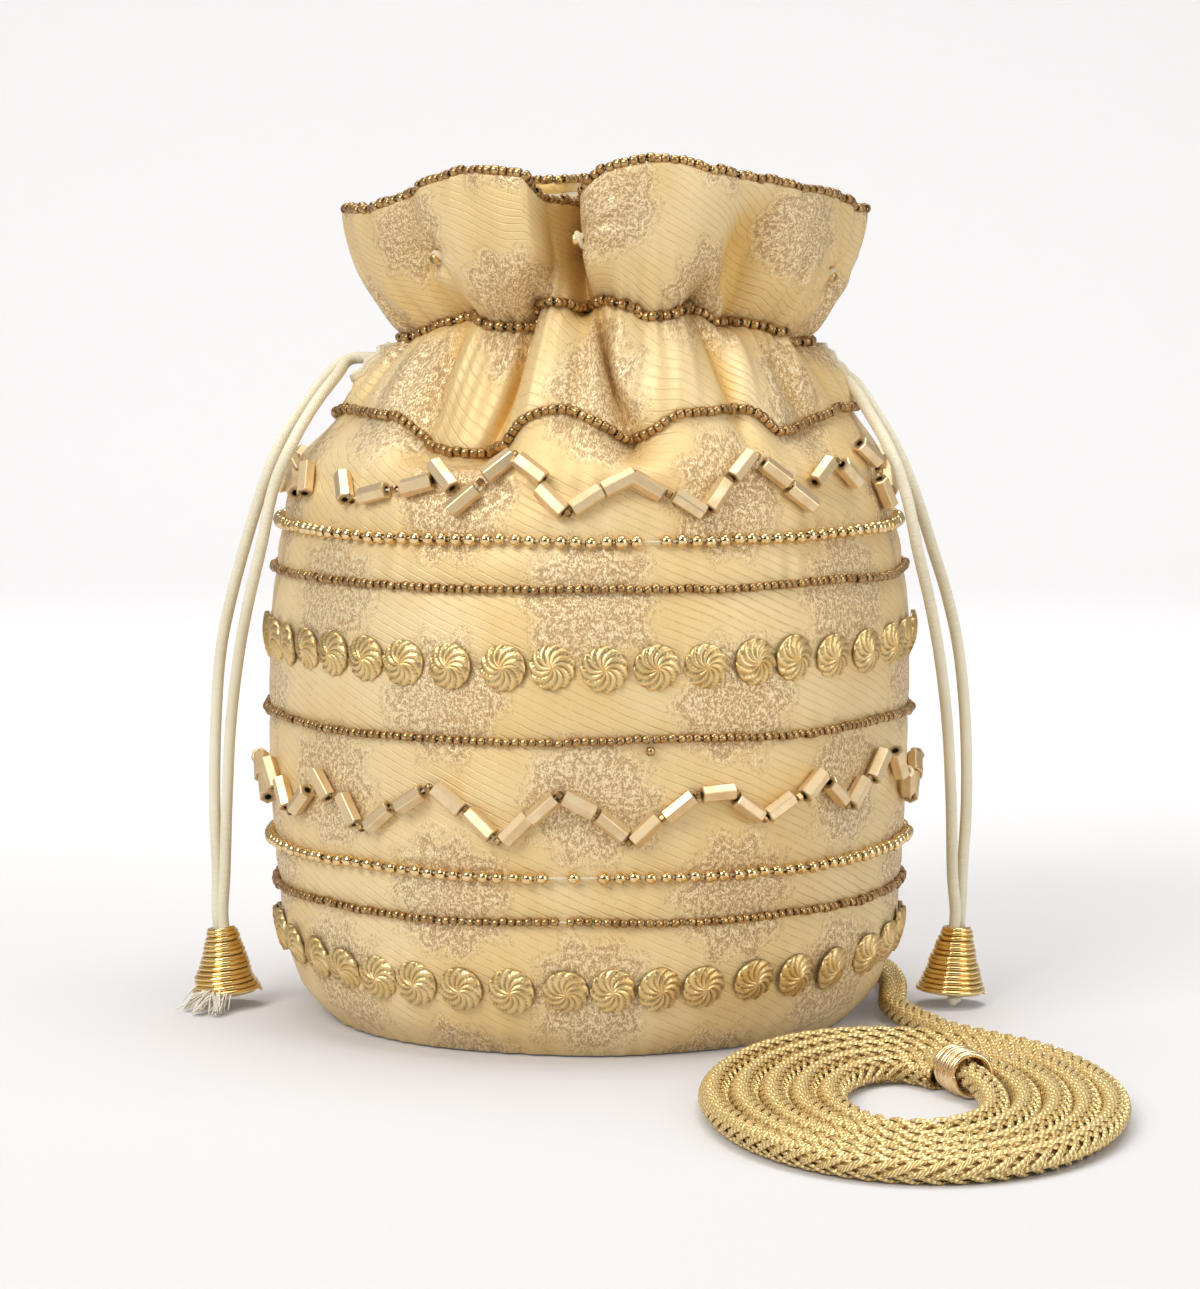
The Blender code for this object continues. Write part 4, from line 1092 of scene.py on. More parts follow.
@dataclass
class Lining:
    """The lining, the base cloth and the stiff board between them."""

    cloth: Cloth
    gap: float = 1.9 * MM
    sleeve: float = 41.85 * MM
    floor_height: float = 4.9 * MM
    floor_radius: float = 61.3 * MM
    base_radius: float = 63.8 * MM
    base_thickness: float = 1.5 * MM
    columns: int = 320

    def build(self, finishes: Wardrobe) -> None:
        """Makes the lining and the base cloth, and finishes the board."""
        turn = np.arange(self.columns) * 360 / self.columns - 180
        level = [np.linspace(0.09, 1, 24), np.linspace(1, 2, 22)[1:], np.linspace(2, 2.93, 26)[1:]]
        level = np.concatenate(level)
        grid = self.cloth.surface(turn[None], level[:, None])
        grid = grid - grid_normals(grid) * self.gap
        height = grid[..., 2]
        inside = ease(level, 1.04, 1.38) * (1 - ease(level, 1.86, 2.02))
        radius = np.hypot(grid[..., 0], grid[..., 1])
        wrinkle = 0.5 * MM * ripple(turn, 41, 24, 60)[None]
        pulled = radius + inside[:, None] * (self.sleeve + wrinkle - radius)
        grid = np.stack([grid[..., 0] * pulled / radius, grid[..., 1] * pulled / radius, height], axis=-1)
        floor = [around(turn, r, self.floor_height + lift) for r, lift in (
            (0.2 * MM, 0), (20 * MM, 0.05 * MM), (40 * MM, 0), (self.floor_radius - 2 * MM, 0),
            (self.floor_radius, 0.8 * MM))]
        whole = np.concatenate([np.stack(floor), grid])
        length = np.interp(level, (0, 1, 2, 3), (0.06, 0.21, 0.234, 0.276))
        length = np.concatenate([(0, 0.02, 0.04, 0.058, 0.06), length])
        flat = np.stack(np.meshgrid(np.linspace(0, 0.49, self.columns + 1), length), axis=-1)
        pile = Pile()
        pile.add_grid(whole, flat, closed=True)
        lining = pile.build("lining_cloth", finishes[Finish.LINING])
        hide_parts("lining")
        self.build_base(finishes)

    def build_base(self, finishes: Wardrobe) -> None:
        """The round base cloth with its sewn edge, and the board's finish."""
        turn = np.arange(180) * 2.0 - 180
        rounded = 0.5 * MM
        edge = self.base_radius + 0.25 * MM * ripple(turn, 43, 40, 80)
        rings = [(0.2 * MM, 0.0), (20 * MM, 0.0), (40 * MM, 0.0), (56 * MM, 0.0)]
        rings += [
            (edge - rounded, 0.0), (edge, rounded), (edge, self.base_thickness - rounded),
            (edge - rounded, self.base_thickness), (0.2 * MM, self.base_thickness),
        ]
        grid = np.stack([around(turn, r, z) for r, z in rings])[:, ::-1]
        flat = grid[..., :2]
        flat = np.concatenate([flat, flat[:, :1]], axis=1)
        pile = Pile()
        pile.add_grid(grid, flat, closed=True)
        for row in (0, -1):
            ring = grid[row]
            i = np.arange(len(ring))[None]
            pile.add(ring, i if row else i[:, ::-1])
        base = pile.build("brocade_base", finishes[Finish.BROCADE])
        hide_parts("base_panel")
        finishes.dress("base_board", Finish.BOARD)


# Beads

ONCE_ROUND = np.linspace(-180, 180, 1801)


def seed_shape(size: float, sides: int = 10) -> Shape:
    """A small round bead with a hole along its own X."""
    profile = [(-0.43, 0.2), (-0.43, 0.37), (-0.24, 0.5), (0.24, 0.5), (0.43, 0.37), (0.43, 0.2)]
    # The hole ends get painted shade, where one bead meets the next.
    return Shape.turned([(x * size, r * size) for x, r in profile], sides, painted_shade=(1, 0.75, 0, 0, 0.75, 1))


def ball_shape(size: float) -> Shape:
    """A polished round bead with a small hole along its own X."""
    angles = np.linspace(math.radians(22), math.radians(158), 9)
    profile = [(-math.cos(a) * size / 2, math.sin(a) * size / 2) for a in angles]
    # The hole ends get painted shade, where one bead meets the next.
    painted_shade = (1, 0.7, *[0.0] * (len(profile) - 2), 0.7, 1)
    return Shape.turned([(-0.3 * size, 0.14 * size), *profile, (0.3 * size, 0.14 * size)], 14, painted_shade=painted_shade)


def hexagon_tube(length: float, width: float) -> Shape:
    """A six-sided tube bead with eased edges, along its own X."""
    corners = np.radians(np.arange(6)[:, None] * 60 + np.array([-4.0, 4.0])).ravel()
    reach = width / math.sqrt(3)
    half = length / 2
    profile = [
        (-half, 0.4 * reach), (-half, 0.86 * reach), (-half + 0.22 * MM, reach),
        (half - 0.22 * MM, reach), (half, 0.86 * reach), (half, 0.4 * reach),
    ]
    # The ends get painted shade, where a tube meets the next bead.
    round_shape = Shape.turned(profile, len(corners), painted_shade=(1, 0.25, 0, 0, 0.25, 1))
    points = round_shape.points.copy()
    for row, (_, radius) in enumerate(profile):
        section = points[row * len(corners) : (row + 1) * len(corners)]
        section[:, 1], section[:, 2] = radius * np.cos(corners), radius * np.sin(corners)
    return Shape(points, round_shape.faces, round_shape.painted_shade)


def rosette_shape(diameter: float, thickness: float) -> Shape:
    """A domed button of curved blades that turn about its middle, facing its own Z."""
    blades, sides = 11, 99
    shares = np.array([0.07, 0.16, 0.27, 0.39, 0.51, 0.63, 0.75, 0.86, 0.95, 1.0])
    turn = np.arange(sides) * math.tau / sides
    rings, painted_shades = [], []
    for share in shares:
        phase = (turn * blades / math.tau + 1.9 * share**1.3) % 1
        ridge = ease(phase, 0, 0.3) * (1 - 0.75 * phase**1.6)
        reach = diameter / 2 * share * (1 + 0.05 * share**3 * (ridge - 0.6))
        dome = thickness * (0.3 + 0.7 * math.sqrt(1 - (0.94 * share) ** 2))
        depth = 0.95 * MM * min(1, share * 2.4)
        height = np.maximum(dome - depth * (1 - ridge), 0.2 * MM)
        rings.append(np.stack([reach * np.cos(turn), reach * np.sin(turn), height], axis=1))
        # Painted shade in the grooves between blades; the rim below gets full painted shade where the button
        # meets the cloth.
        painted_shades.append(min(1, share * 3) * (1 - ridge) ** 2)
    rim = diameter / 2 * 0.99
    rings.append(np.stack([rim * np.cos(turn), rim * np.sin(turn), 0 * turn + 0.1 * MM], axis=1))
    painted_shades.append(np.ones(sides))
    faces = [ring_faces(row * sides, (row + 1) * sides, sides) for row in range(len(rings) - 1)]
    points = np.concatenate([*rings, [[0, 0, thickness * 0.97]]])
    i = np.arange(sides)
    middle = np.stack([i, (i + 1) % sides, np.full(sides, len(points) - 1)], axis=1)
    return Shape(points, (np.concatenate(faces), middle), np.concatenate([*painted_shades, [0.0]]))


@dataclass
class Strings:
    """Lines of beads sewn to the cloth."""

    cloth: Cloth
    finishes: Wardrobe
    thread: float = 0.28 * MM

    def row(
        self, name: str, shape: Shape, pitch: float, lift: float, finish: Finish, level: np.ndarray,
        node: str, slot_name: str, seed: int, gaps: tuple[float, ...] = (), on_edge: bool = False,
        wander: float = 0.12 * MM,
    ) -> None:
        """One closed string of beads.

        Args:
            name: The piece's name.
            shape: The bead.
            pitch: Distance from bead to bead, in mm.
            lift: Height of the bead's middle over the cloth, in mm.
            finish: The beads' finish.
            level: Level of the string at each angle of ONCE_ROUND.
            node: The CAD node that it replaces.
            slot_name: The record's material slot; not used.
            seed: Picks its unevenness.
            gaps: Angles at which a bead is missing.
            on_edge: True where the string lies on top of the rim.
            wander: How far a bead strays.
        """
        chance = np.random.default_rng(seed)
        pitch, lift = pitch * MM, lift * MM
        here, out, _, up = self.cloth.frames(ONCE_ROUND, level)
        line = here + up * lift - out * self.cloth.thickness / 2 if on_edge else here + out * lift
        reached = distance(line)
        count = round(reached[-1] / pitch)
        wanted = (np.arange(count) + 0.5) * reached[-1] / count
        at = np.interp(wanted, reached, ONCE_ROUND)
        kept = np.ones(count, bool)
        for gap in gaps:
            kept[int(np.argmin(np.abs(at - gap)))] = False
        shifts = (-pitch / 2, 0, pitch / 2)
        behind, points, ahead = (read_along(line, reached, wanted + shift) for shift in shifts)
        along = unit(ahead - behind + chance.normal(0, 0.07, (count, 3)) * pitch)
        _, out, _, _ = self.cloth.frames(at, np.interp(wanted, reached, level))
        square = unit(np.cross(along, out))
        size = (1 + chance.normal(0, 0.035, count))[:, None, None]
        axes = np.stack([along, np.cross(square, along), square], axis=1) * size
        points = points + chance.normal(0, 1, (count, 3)) * wander
        pile = Pile()
        pile.add_copies(shape, points[kept], axes[kept])
        thread = read_along(line, reached, np.linspace(0, reached[-1], count * 2))
        pile.add_tube(thread, self.thread, 6, slot=1)
        piece = pile.build(name, self.finishes[finish], self.finishes[Finish.THREAD])
        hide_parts(node)

    def build_lines(self) -> None:
        """The beads along the casing line, the neck line and the rim."""
        seed = seed_shape(2.3 * MM)
        rows = (
            ("casing", 1.0, 1.95, 1.2, 51, {}), ("neck", 2.0, 1.95, 1.2, 52, {}),
            ("rim", 3.0, 1.98, 1.25, 53, {"on_edge": True, "wander": 0.22 * MM}),
        )
        for name, level, pitch, lift, number, extra in rows:
            self.row(
                f"{name}_line", seed, pitch, lift, Finish.BRONZE, np.full_like(ONCE_ROUND, level),
                f"{name}_beads", "bronze_beads", number, **extra,
            )

    def build_rows(self) -> None:
        """The level rows of small beads on the wall."""
        bronze = (seed_shape(2.1 * MM), 2.04, 1.05, Finish.BRONZE)
        gold = (ball_shape(3.1 * MM), 3.6, 1.5, Finish.GOLD)
        rows = (
            ("seed_upper", 112.0, bronze, "seed_beads_upper", "bronze_beads", ()),
            ("seed_middle", 77.0, bronze, "seed_beads_middle", "bronze_beads", ()),
            ("seed_lower", 34.0, bronze, "seed_beads_lower", "bronze_beads", (-5.0,)),
            ("round_upper", 123.0, gold, "round_beads_upper", "gold_beads", (12.0,)),
            ("round_lower", 45.0, gold, "round_beads_lower", "gold_beads", (-6.0, 0.5)),
        )
        for number, (name, height, bead, node, slot_name, gaps) in enumerate(rows):
            sway = 0.35 * ripple(ONCE_ROUND, 60 + number, 2, 9)
            level = self.cloth.level_of((height + sway) * MM)
            self.row(name, *bead, level, node, slot_name, 70 + number, gaps)

    def build_loose_bead(self) -> None:
        """One bead that hangs from its thread below the middle row."""
        here, out, across, up = self.cloth.frames(np.array([10.2]), np.array([self.cloth.level_of(74.6 * MM)]))
        pile = Pile()
        pile.add_copies(seed_shape(2.2 * MM), here + out * 1.2 * MM, np.stack([up, out, across], axis=1))
        piece = pile.build("loose_bead", self.finishes[Finish.BRONZE])


@dataclass
class Rosettes:
    """Rows of swirled buttons."""

    cloth: Cloth
    diameter: float = 10.9 * MM
    thickness: float = 2.3 * MM
    upper_height: float = 94.0
    lower_height: float = 18.0
    upper_count: int = 42
    lower_count: int = 43
    upper_front: Table = (
        (-72.5, 95.4), (-64.8, 95.4), (-57.2, 95.2), (-49.2, 95.0), (-41, 94.6), (-33, 94.2), (-24, 93.9),
        (-14.5, 94), (-6.2, 94.3), (2.5, 94), (11.2, 94.3), (19.8, 94.2), (29.2, 94.6), (37.2, 95.0),
        (46.2, 94.6), (55.5, 94.8), (64.8, 95.4), (73.0, 95.6),
    )
    lower_front: Table = (
        (-78, 22.4), (-67.8, 21), (-58.2, 19.8), (-49.8, 18.6), (-41, 17.9), (-32.5, 17.6), (-23.5, 17.2),
        (-14, 17.3), (-4.2, 17.8), (4, 18), (12.2, 18), (20.5, 18), (30.8, 18.6), (40.2, 18.4), (49.2, 18.6),
        (59.8, 20.3), (69.5, 21.2), (78.5, 22),
    )

    def places(self, front: tuple, height: float, count: int) -> tuple[np.ndarray, np.ndarray]:
        """Angles and heights of one row, as sewn at the front and even round the back."""
        turn, high = (np.array(column, float) for column in zip(*front, strict=True))
        spare = count - len(front)
        gap = (360 - (turn[-1] - turn[0])) / (spare + 1)
        back = turn[-1] + gap * np.arange(1, spare + 1)
        first, last = turn[0], turn[-1]
        between = (last, last + 40, 360 + first - 40, 360 + first)
        rise = np.interp(back, between, (high[-1], height, height, high[0]))
        return np.concatenate([turn, back]), np.concatenate([high, rise])

    def build(self, finishes: Wardrobe) -> None:
        """Makes both rows."""
        shape = rosette_shape(self.diameter, self.thickness)
        rows = (
            ("rosettes_upper", self.upper_front, self.upper_height, self.upper_count, 81),
            ("rosettes_lower", self.lower_front, self.lower_height, self.lower_count, 82),
        )
        for node, front, height, count, seed in rows:
            chance = np.random.default_rng(seed)
            turn, high = self.places(front, height, count)
            here, out, across, up = self.cloth.frames(turn, self.cloth.level_of(high * MM))
            out = unit(out + chance.normal(0, 0.05, out.shape))
            spin = chance.uniform(0, math.tau, len(turn))[:, None]
            across = unit(np.cross(up, out))
            up = np.cross(out, across)
            axes = np.stack([*spun(across, up, spin), out], axis=1)
            size = (1 + chance.normal(0, 0.015, len(turn)))[:, None, None]
            pile = Pile()
            pile.add_copies(shape, here + out * 0.25 * MM, axes * size)
            piece = pile.build(f"{node}_buttons", finishes[Finish.ANTIQUE])
            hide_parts(node)


@dataclass
class Zigzags:
    """Six-sided tube beads sewn in zigzags, each listed at the front as angle, height and slope."""

    cloth: Cloth
    length: float = 8.3 * MM
    width: float = 3.7 * MM
    joint: float = 0.75 * MM
    upper_height: float = 134.5
    upper_rise: float = 8.6
    lower_height: float = 60.0
    lower_rise: float = 9.0
    slope_turn: float = 10.6
    upper: Table = (
        (-68, 134.2, -60), (-51.1, 133.3, -51), (-42.4, 132.4, 19), (-33.2, 135.2, 17), (-28.2, 137.4, -45),
        (-23.0, 131.9, 44), (-17.3, 139.8, 38), (-11.4, 139.1, -39), (-6.8, 132.2, -43), (-0.5, 132.2, 36),
        (4.9, 136.7, 25), (10.2, 136.1, -32), (18, 131.2, -36), (23.2, 132.9, 47), (28.2, 139.3, 47),
        (35.2, 137.9, -38), (41, 131.9, -40), (47.5, 137.6, 30), (56, 136.9, -35), (66.5, 140.2, -45),
        (70.8, 130.8, -62),
    )
    lower: Table = (
        (-73, 62.5, -50), (-67.2, 58.4, -50), (-60.2, 57.8, 45), (-52.6, 63.1, -44), (-45.8, 57.6, -51),
        (-38.2, 56.9, 37), (-31.2, 62.4, 33), (-24, 63.2, -39), (-18.2, 57.2, -40), (-12.2, 56.3, 47),
        (-7.6, 61.8, 43), (-1.8, 62.7, -32), (3.6, 57.0, -41), (9.4, 55.9, 43), (15.2, 61.8, 43),
        (21.6, 64.6, 6), (27.2, 61, -35), (33.2, 60.6, 33), (39.9, 64.6, 36), (46.2, 62.4, -40),
        (52.6, 61.2, 44), (60, 66.4, 44), (68.6, 65.6, -50), (74, 60.4, -50),
    )

    def places(self, front: tuple, height: float, rise: float) -> np.ndarray:
        """Every bead's angle, height and slope: as sewn at the front, even round the back."""
        first, last = front[0][0], front[-1][0]
        room = 360 - (last - first)
        slopes = round(room / self.slope_turn / 2) * 2
        step = room / (slopes * 2 + 1)
        tilt = math.degrees(math.atan2(rise, 2 * math.radians(step) * 79))
        back = []
        for i in range(slopes * 2):
            pair, second = divmod(i, 2)
            up = pair % 2 == 0
            offset = rise / 4 if second == up else -rise / 4
            back.append((last + step * (i + 1), height + offset, tilt if up else -tilt))
        return np.array([*front, *back], float)

    def build(self, finishes: Wardrobe) -> None:
        """Makes both zigzags, with a small bead at every joint."""
        shape = hexagon_tube(self.length, self.width)
        seed = seed_shape(1.9 * MM, 8)
        rows = (
            ("tube_beads_upper", self.upper, self.upper_height, self.upper_rise, 91),
            ("tube_beads_lower", self.lower, self.lower_height, self.lower_rise, 92),
        )
        for node, front, height, rise, number in rows:
            chance = np.random.default_rng(number)
            turn, high, slope = self.places(front, height, rise).T
            here, out, across, up = self.cloth.frames(turn, self.cloth.level_of(high * MM))
            slope = np.radians(slope + chance.normal(0, 2.5, len(turn)))[:, None]
            along = across * np.cos(slope) + up * np.sin(slope)
            square = np.cross(out, along)
            roll = np.radians(chance.choice([0.0, 30.0, 12.0, -14.0], len(turn)))[:, None]
            axes = np.stack([along, *spun(square, out, roll)], axis=1)
            middle = here + out * (self.width / 2 + 0.25 * MM)
            pile = Pile()
            pile.add_copies(shape, middle, axes * (1 + chance.normal(0, 0.02, len(turn)))[:, None, None])
            reach = along * (self.length / 2 + self.joint)
            ends, starts = middle + reach, np.roll(middle - reach, -1, axis=0)
            joints = (ends + starts) / 2
            near = np.linalg.norm(starts - ends, axis=1) < 5 * MM
            pile.add_copies(seed, joints[near], np.stack([along, square, out], axis=1)[near], slot=1)
            for k in np.flatnonzero(near):
                thread = np.stack([ends[k] - along[k] * 2 * MM, joints[k], starts[k]])
                pile.add_tube(thread, 0.3 * MM, 6, slot=2)
            looks = (finishes[kind] for kind in (Finish.CHAMPAGNE, Finish.BRONZE, Finish.THREAD))
            piece = pile.build(f"{node}_hexagons", *looks, sharp=24)
            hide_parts(node)


# Cords


@dataclass
class Drawstrings:
    """The two drawstrings, and the wound wire cones at their ends."""

    diameter: float = 2.9 * MM
    exit_reach: float = 56.0 * MM
    spread: float = 1.75 * MM
    lead: float = 3.0 * MM
    neck_height: float = 168.0 * MM
    drop: float = 6.6 * MM
    spacing: float = 3.3 * MM
    cone_distance: float = 91.6 * MM
    cone_bottom: float = 3.0 * MM
    cone_height: float = 17.2 * MM
    cone_top_radius: float = 3.7 * MM
    cone_bottom_radius: float = 8.8 * MM
    cone_turns: int = 14
    cone_lean: float = 4.0
    wire: float = 0.62 * MM
    routes: tuple = (
        ("left_outer", (
            (-63.5, -0.5, 160.4), (-69.7, -4, 153), (-75.5, -8, 144), (-80.2, -9.5, 133), (-85, -8.5, 118),
            (-89, -6, 104), (-92, -3.5, 90), (-93.6, -1, 72), (-94.2, 0.5, 52), (-93.8, 1.4, 34),
        )),
        ("left_inner", (
            (-62.3, -8.2, 159.2), (-67.9, -15.5, 151.5), (-72.8, -22, 142.5), (-77, -23, 132.5),
            (-80.2, -22.5, 118), (-83.8, -18, 104), (-86.8, -12.5, 90), (-89.4, -7, 72), (-90.8, -3.6, 52),
            (-91.6, -2, 34),
        )),
        ("right_outer", (
            (65.6, -0.5, 157.8), (70.8, -4, 150.4), (75.8, -8, 141.7), (80.4, -9.5, 131), (85, -8.5, 117),
            (89.2, -6, 104), (92.4, -3.5, 90), (94.4, -1, 72), (95, 0.5, 52), (94.2, 1.4, 34),
        )),
        ("right_inner", (
            (64.6, -7.6, 157), (68.8, -15.5, 150.2), (73.6, -22.7, 141.2), (77.5, -23.2, 130.5),
            (80.4, -22.5, 117), (83.8, -18, 104), (86.8, -12.5, 90), (89.4, -7, 72), (90.8, -3.6, 52),
            (91.4, -2, 34),
        )),
    )

    def cone_frame(self, side: int) -> Matrix:
        """Placement of a cone, whose axis leans outwards at the top."""
        lean = Matrix.Rotation(math.radians(side * self.cone_lean), 4, "Y")
        return Matrix.Translation((side * self.cone_distance, 0, self.cone_bottom)) @ lean

    def in_cone(self, side: int, points: np.ndarray) -> np.ndarray:
        """Points of a cone's own frame, placed."""
        place = np.array(self.cone_frame(side))
        return np.asarray(points, float) @ place[:3, :3].T + place[:3, 3]

    def route(self, name: str, points: tuple) -> np.ndarray:
        """The centreline of one strand, from its slot into its cone."""
        side = -1 if name.startswith("left") else 1
        row = 1 if name.endswith("outer") else -1
        height = self.neck_height - self.drop - side * self.spacing / 2
        tip = (side * (self.exit_reach - 2 * self.lead), row * self.spread, height)
        lead = (side * (self.exit_reach + self.lead), row * self.spread, height)
        offset = (side * row * 0.8 * MM, row * 1.32 * MM)
        ends = self.in_cone(side, [(*offset, h * MM) for h in (21.2, 15.2, 7.3)])
        return smooth_route([tip, lead, *np.array(points) * MM, *ends], 1.3 * MM)

    def build_cone(self, name: str, side: int, finishes: Wardrobe) -> bpy.types.Object:
        """A cone of close turns of wire, whose ends lie on the turn beside them."""
        count = self.cone_turns * 28
        share = np.linspace(0, 1, count)
        turn = share * self.cone_turns * math.tau
        chance = np.random.default_rng(7 + side)
        sway = np.interp(share, np.linspace(0, 1, 9), chance.normal(0, 0.16 * MM, 9))
        flare = 1.1 * MM * np.exp(-share * 9)
        spread = (self.cone_top_radius - self.cone_bottom_radius) * share**0.93
        radius = self.cone_bottom_radius + spread + flare * 0.4 - self.wire
        height = self.wire * 0.6 + share * (self.cone_height - self.wire)
        tilt = 0.35 * MM * np.sin(turn / 3 + 1)
        path = np.stack([
            radius * np.cos(turn) + sway, radius * np.sin(turn) + sway * 0.5, height + tilt * share * 0.4,
        ], axis=1)
        thin = self.wire * np.interp(share, (0, 0.006, 0.994, 1), (0.55, 1, 1, 0.55))
        pile = Pile()
        pile.add_tube(self.in_cone(side, path), thin, 10, ends=True)
        inner = (
            (self.cone_bottom_radius - 1.5 * MM, 0.3 * MM),
            (self.cone_top_radius - 1.2 * MM, self.cone_height - 0.3 * MM),
        )
        sides = np.arange(28) * 360 / 28
        liner = np.stack([self.in_cone(side, around(sides, r, z)) for r, z in inner])
        pile.add_grid(liner, closed=True, slot=1)
        piece = pile.build(f"wire_cone_{name}", finishes[Finish.WIRE], finishes[Finish.THREAD])
        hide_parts(f"cone_{name}")
        return piece

    def build_knot(self, name: str, side: int, finishes: Wardrobe) -> bpy.types.Object:
        """The knotted ends inside a cone; the left ones are frayed and spill on to the floor."""
        pile = Pile()
        share = np.linspace(0, math.tau * 2, 120)
        reach = 3.6 + 1.5 * np.cos(share * 1.5)
        height = 2.6 + 1.7 * np.sin(share * 1.5)
        knot = np.stack([reach * np.cos(share), reach * np.sin(share), height], axis=1) * MM
        pile.add_tube(self.in_cone(side, knot), 1.45 * MM, 12)
        if side < 0:
            self.add_fray(pile)
        else:
            self.add_stub(pile, side)
        finish = Finish.FRAY if side < 0 else Finish.CORD
        piece = pile.build(f"cord_knot_{name}", finishes[finish])
        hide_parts(f"cord_end_{name}")
        return piece

    def add_fray(self, pile: Pile) -> None:
        """Loose fibres of the left cord's end."""
        chance = np.random.default_rng(17)
        for number in range(110):
            tuft = number % 3
            aim = ((-98.5, -15.5), (-93.0, -17.0), (-101.5, -9.0))[tuft]
            stray = chance.normal(0, 1.0, 3)
            start = np.array([-92.6 + stray[0] * 1.3, -3.6 + stray[1] * 1.2, 3.2 + abs(stray[2]) * 0.6])
            reach = chance.uniform(0.72, 1.05)
            drift = (chance.normal(0, 1.1), chance.normal(0, 1.2), abs(chance.normal(0.5, 0.6)))
            end = np.array((*aim, 0.25)) + drift
            end = start + (end - start) * reach
            end[2] = max(end[2], 0.25)
            bend = (start + end) / 2 + chance.normal(0, 0.5, 3) + (0, 0, 1.3)
            bend[2] = max(bend[2], 0.4)
            path = smooth_route(np.stack([start, bend, end]) * MM, 0.9 * MM)
            pile.add_tube(path, np.linspace(0.24, 0.12, len(path)) * MM, 5)

    def add_stub(self, pile: Pile, side: int) -> None:
        """The short cut end of the right cord, under its knot."""
        path = np.array([(1.5, -2.5, 2.0), (1.0, -4.2, -0.2), (-0.6, -5.6, -1.2)]) * MM
        pile.add_tube(self.in_cone(side, smooth_route(path, 0.6 * MM)), 1.35 * MM, 12, ends=True)

    def build(self, finishes: Wardrobe) -> None:
        """Makes the strands, cones and knots, and finishes the loops inside the casing."""
        ends = {}
        for name, side in (("left", -1), ("right", 1)):
            ends[name] = (self.build_cone(name, side, finishes), self.build_knot(name, side, finishes))
            finishes.dress(f"drawstring_{name}", Finish.CORD)
        for name, points in self.routes:
            path = self.route(name, points)
            pile = Pile()
            pile.add_tube(path, self.diameter / 2, 16, ends=True)
            piece = pile.build(f"cord_{name}", finishes[Finish.CORD])
            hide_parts(f"strand_{name}")
            outer = name.endswith("outer")
            length = float(distance(path)[-1])
            tuple(path[0])
            list(ends[name.split("_")[0]]) if outer else []


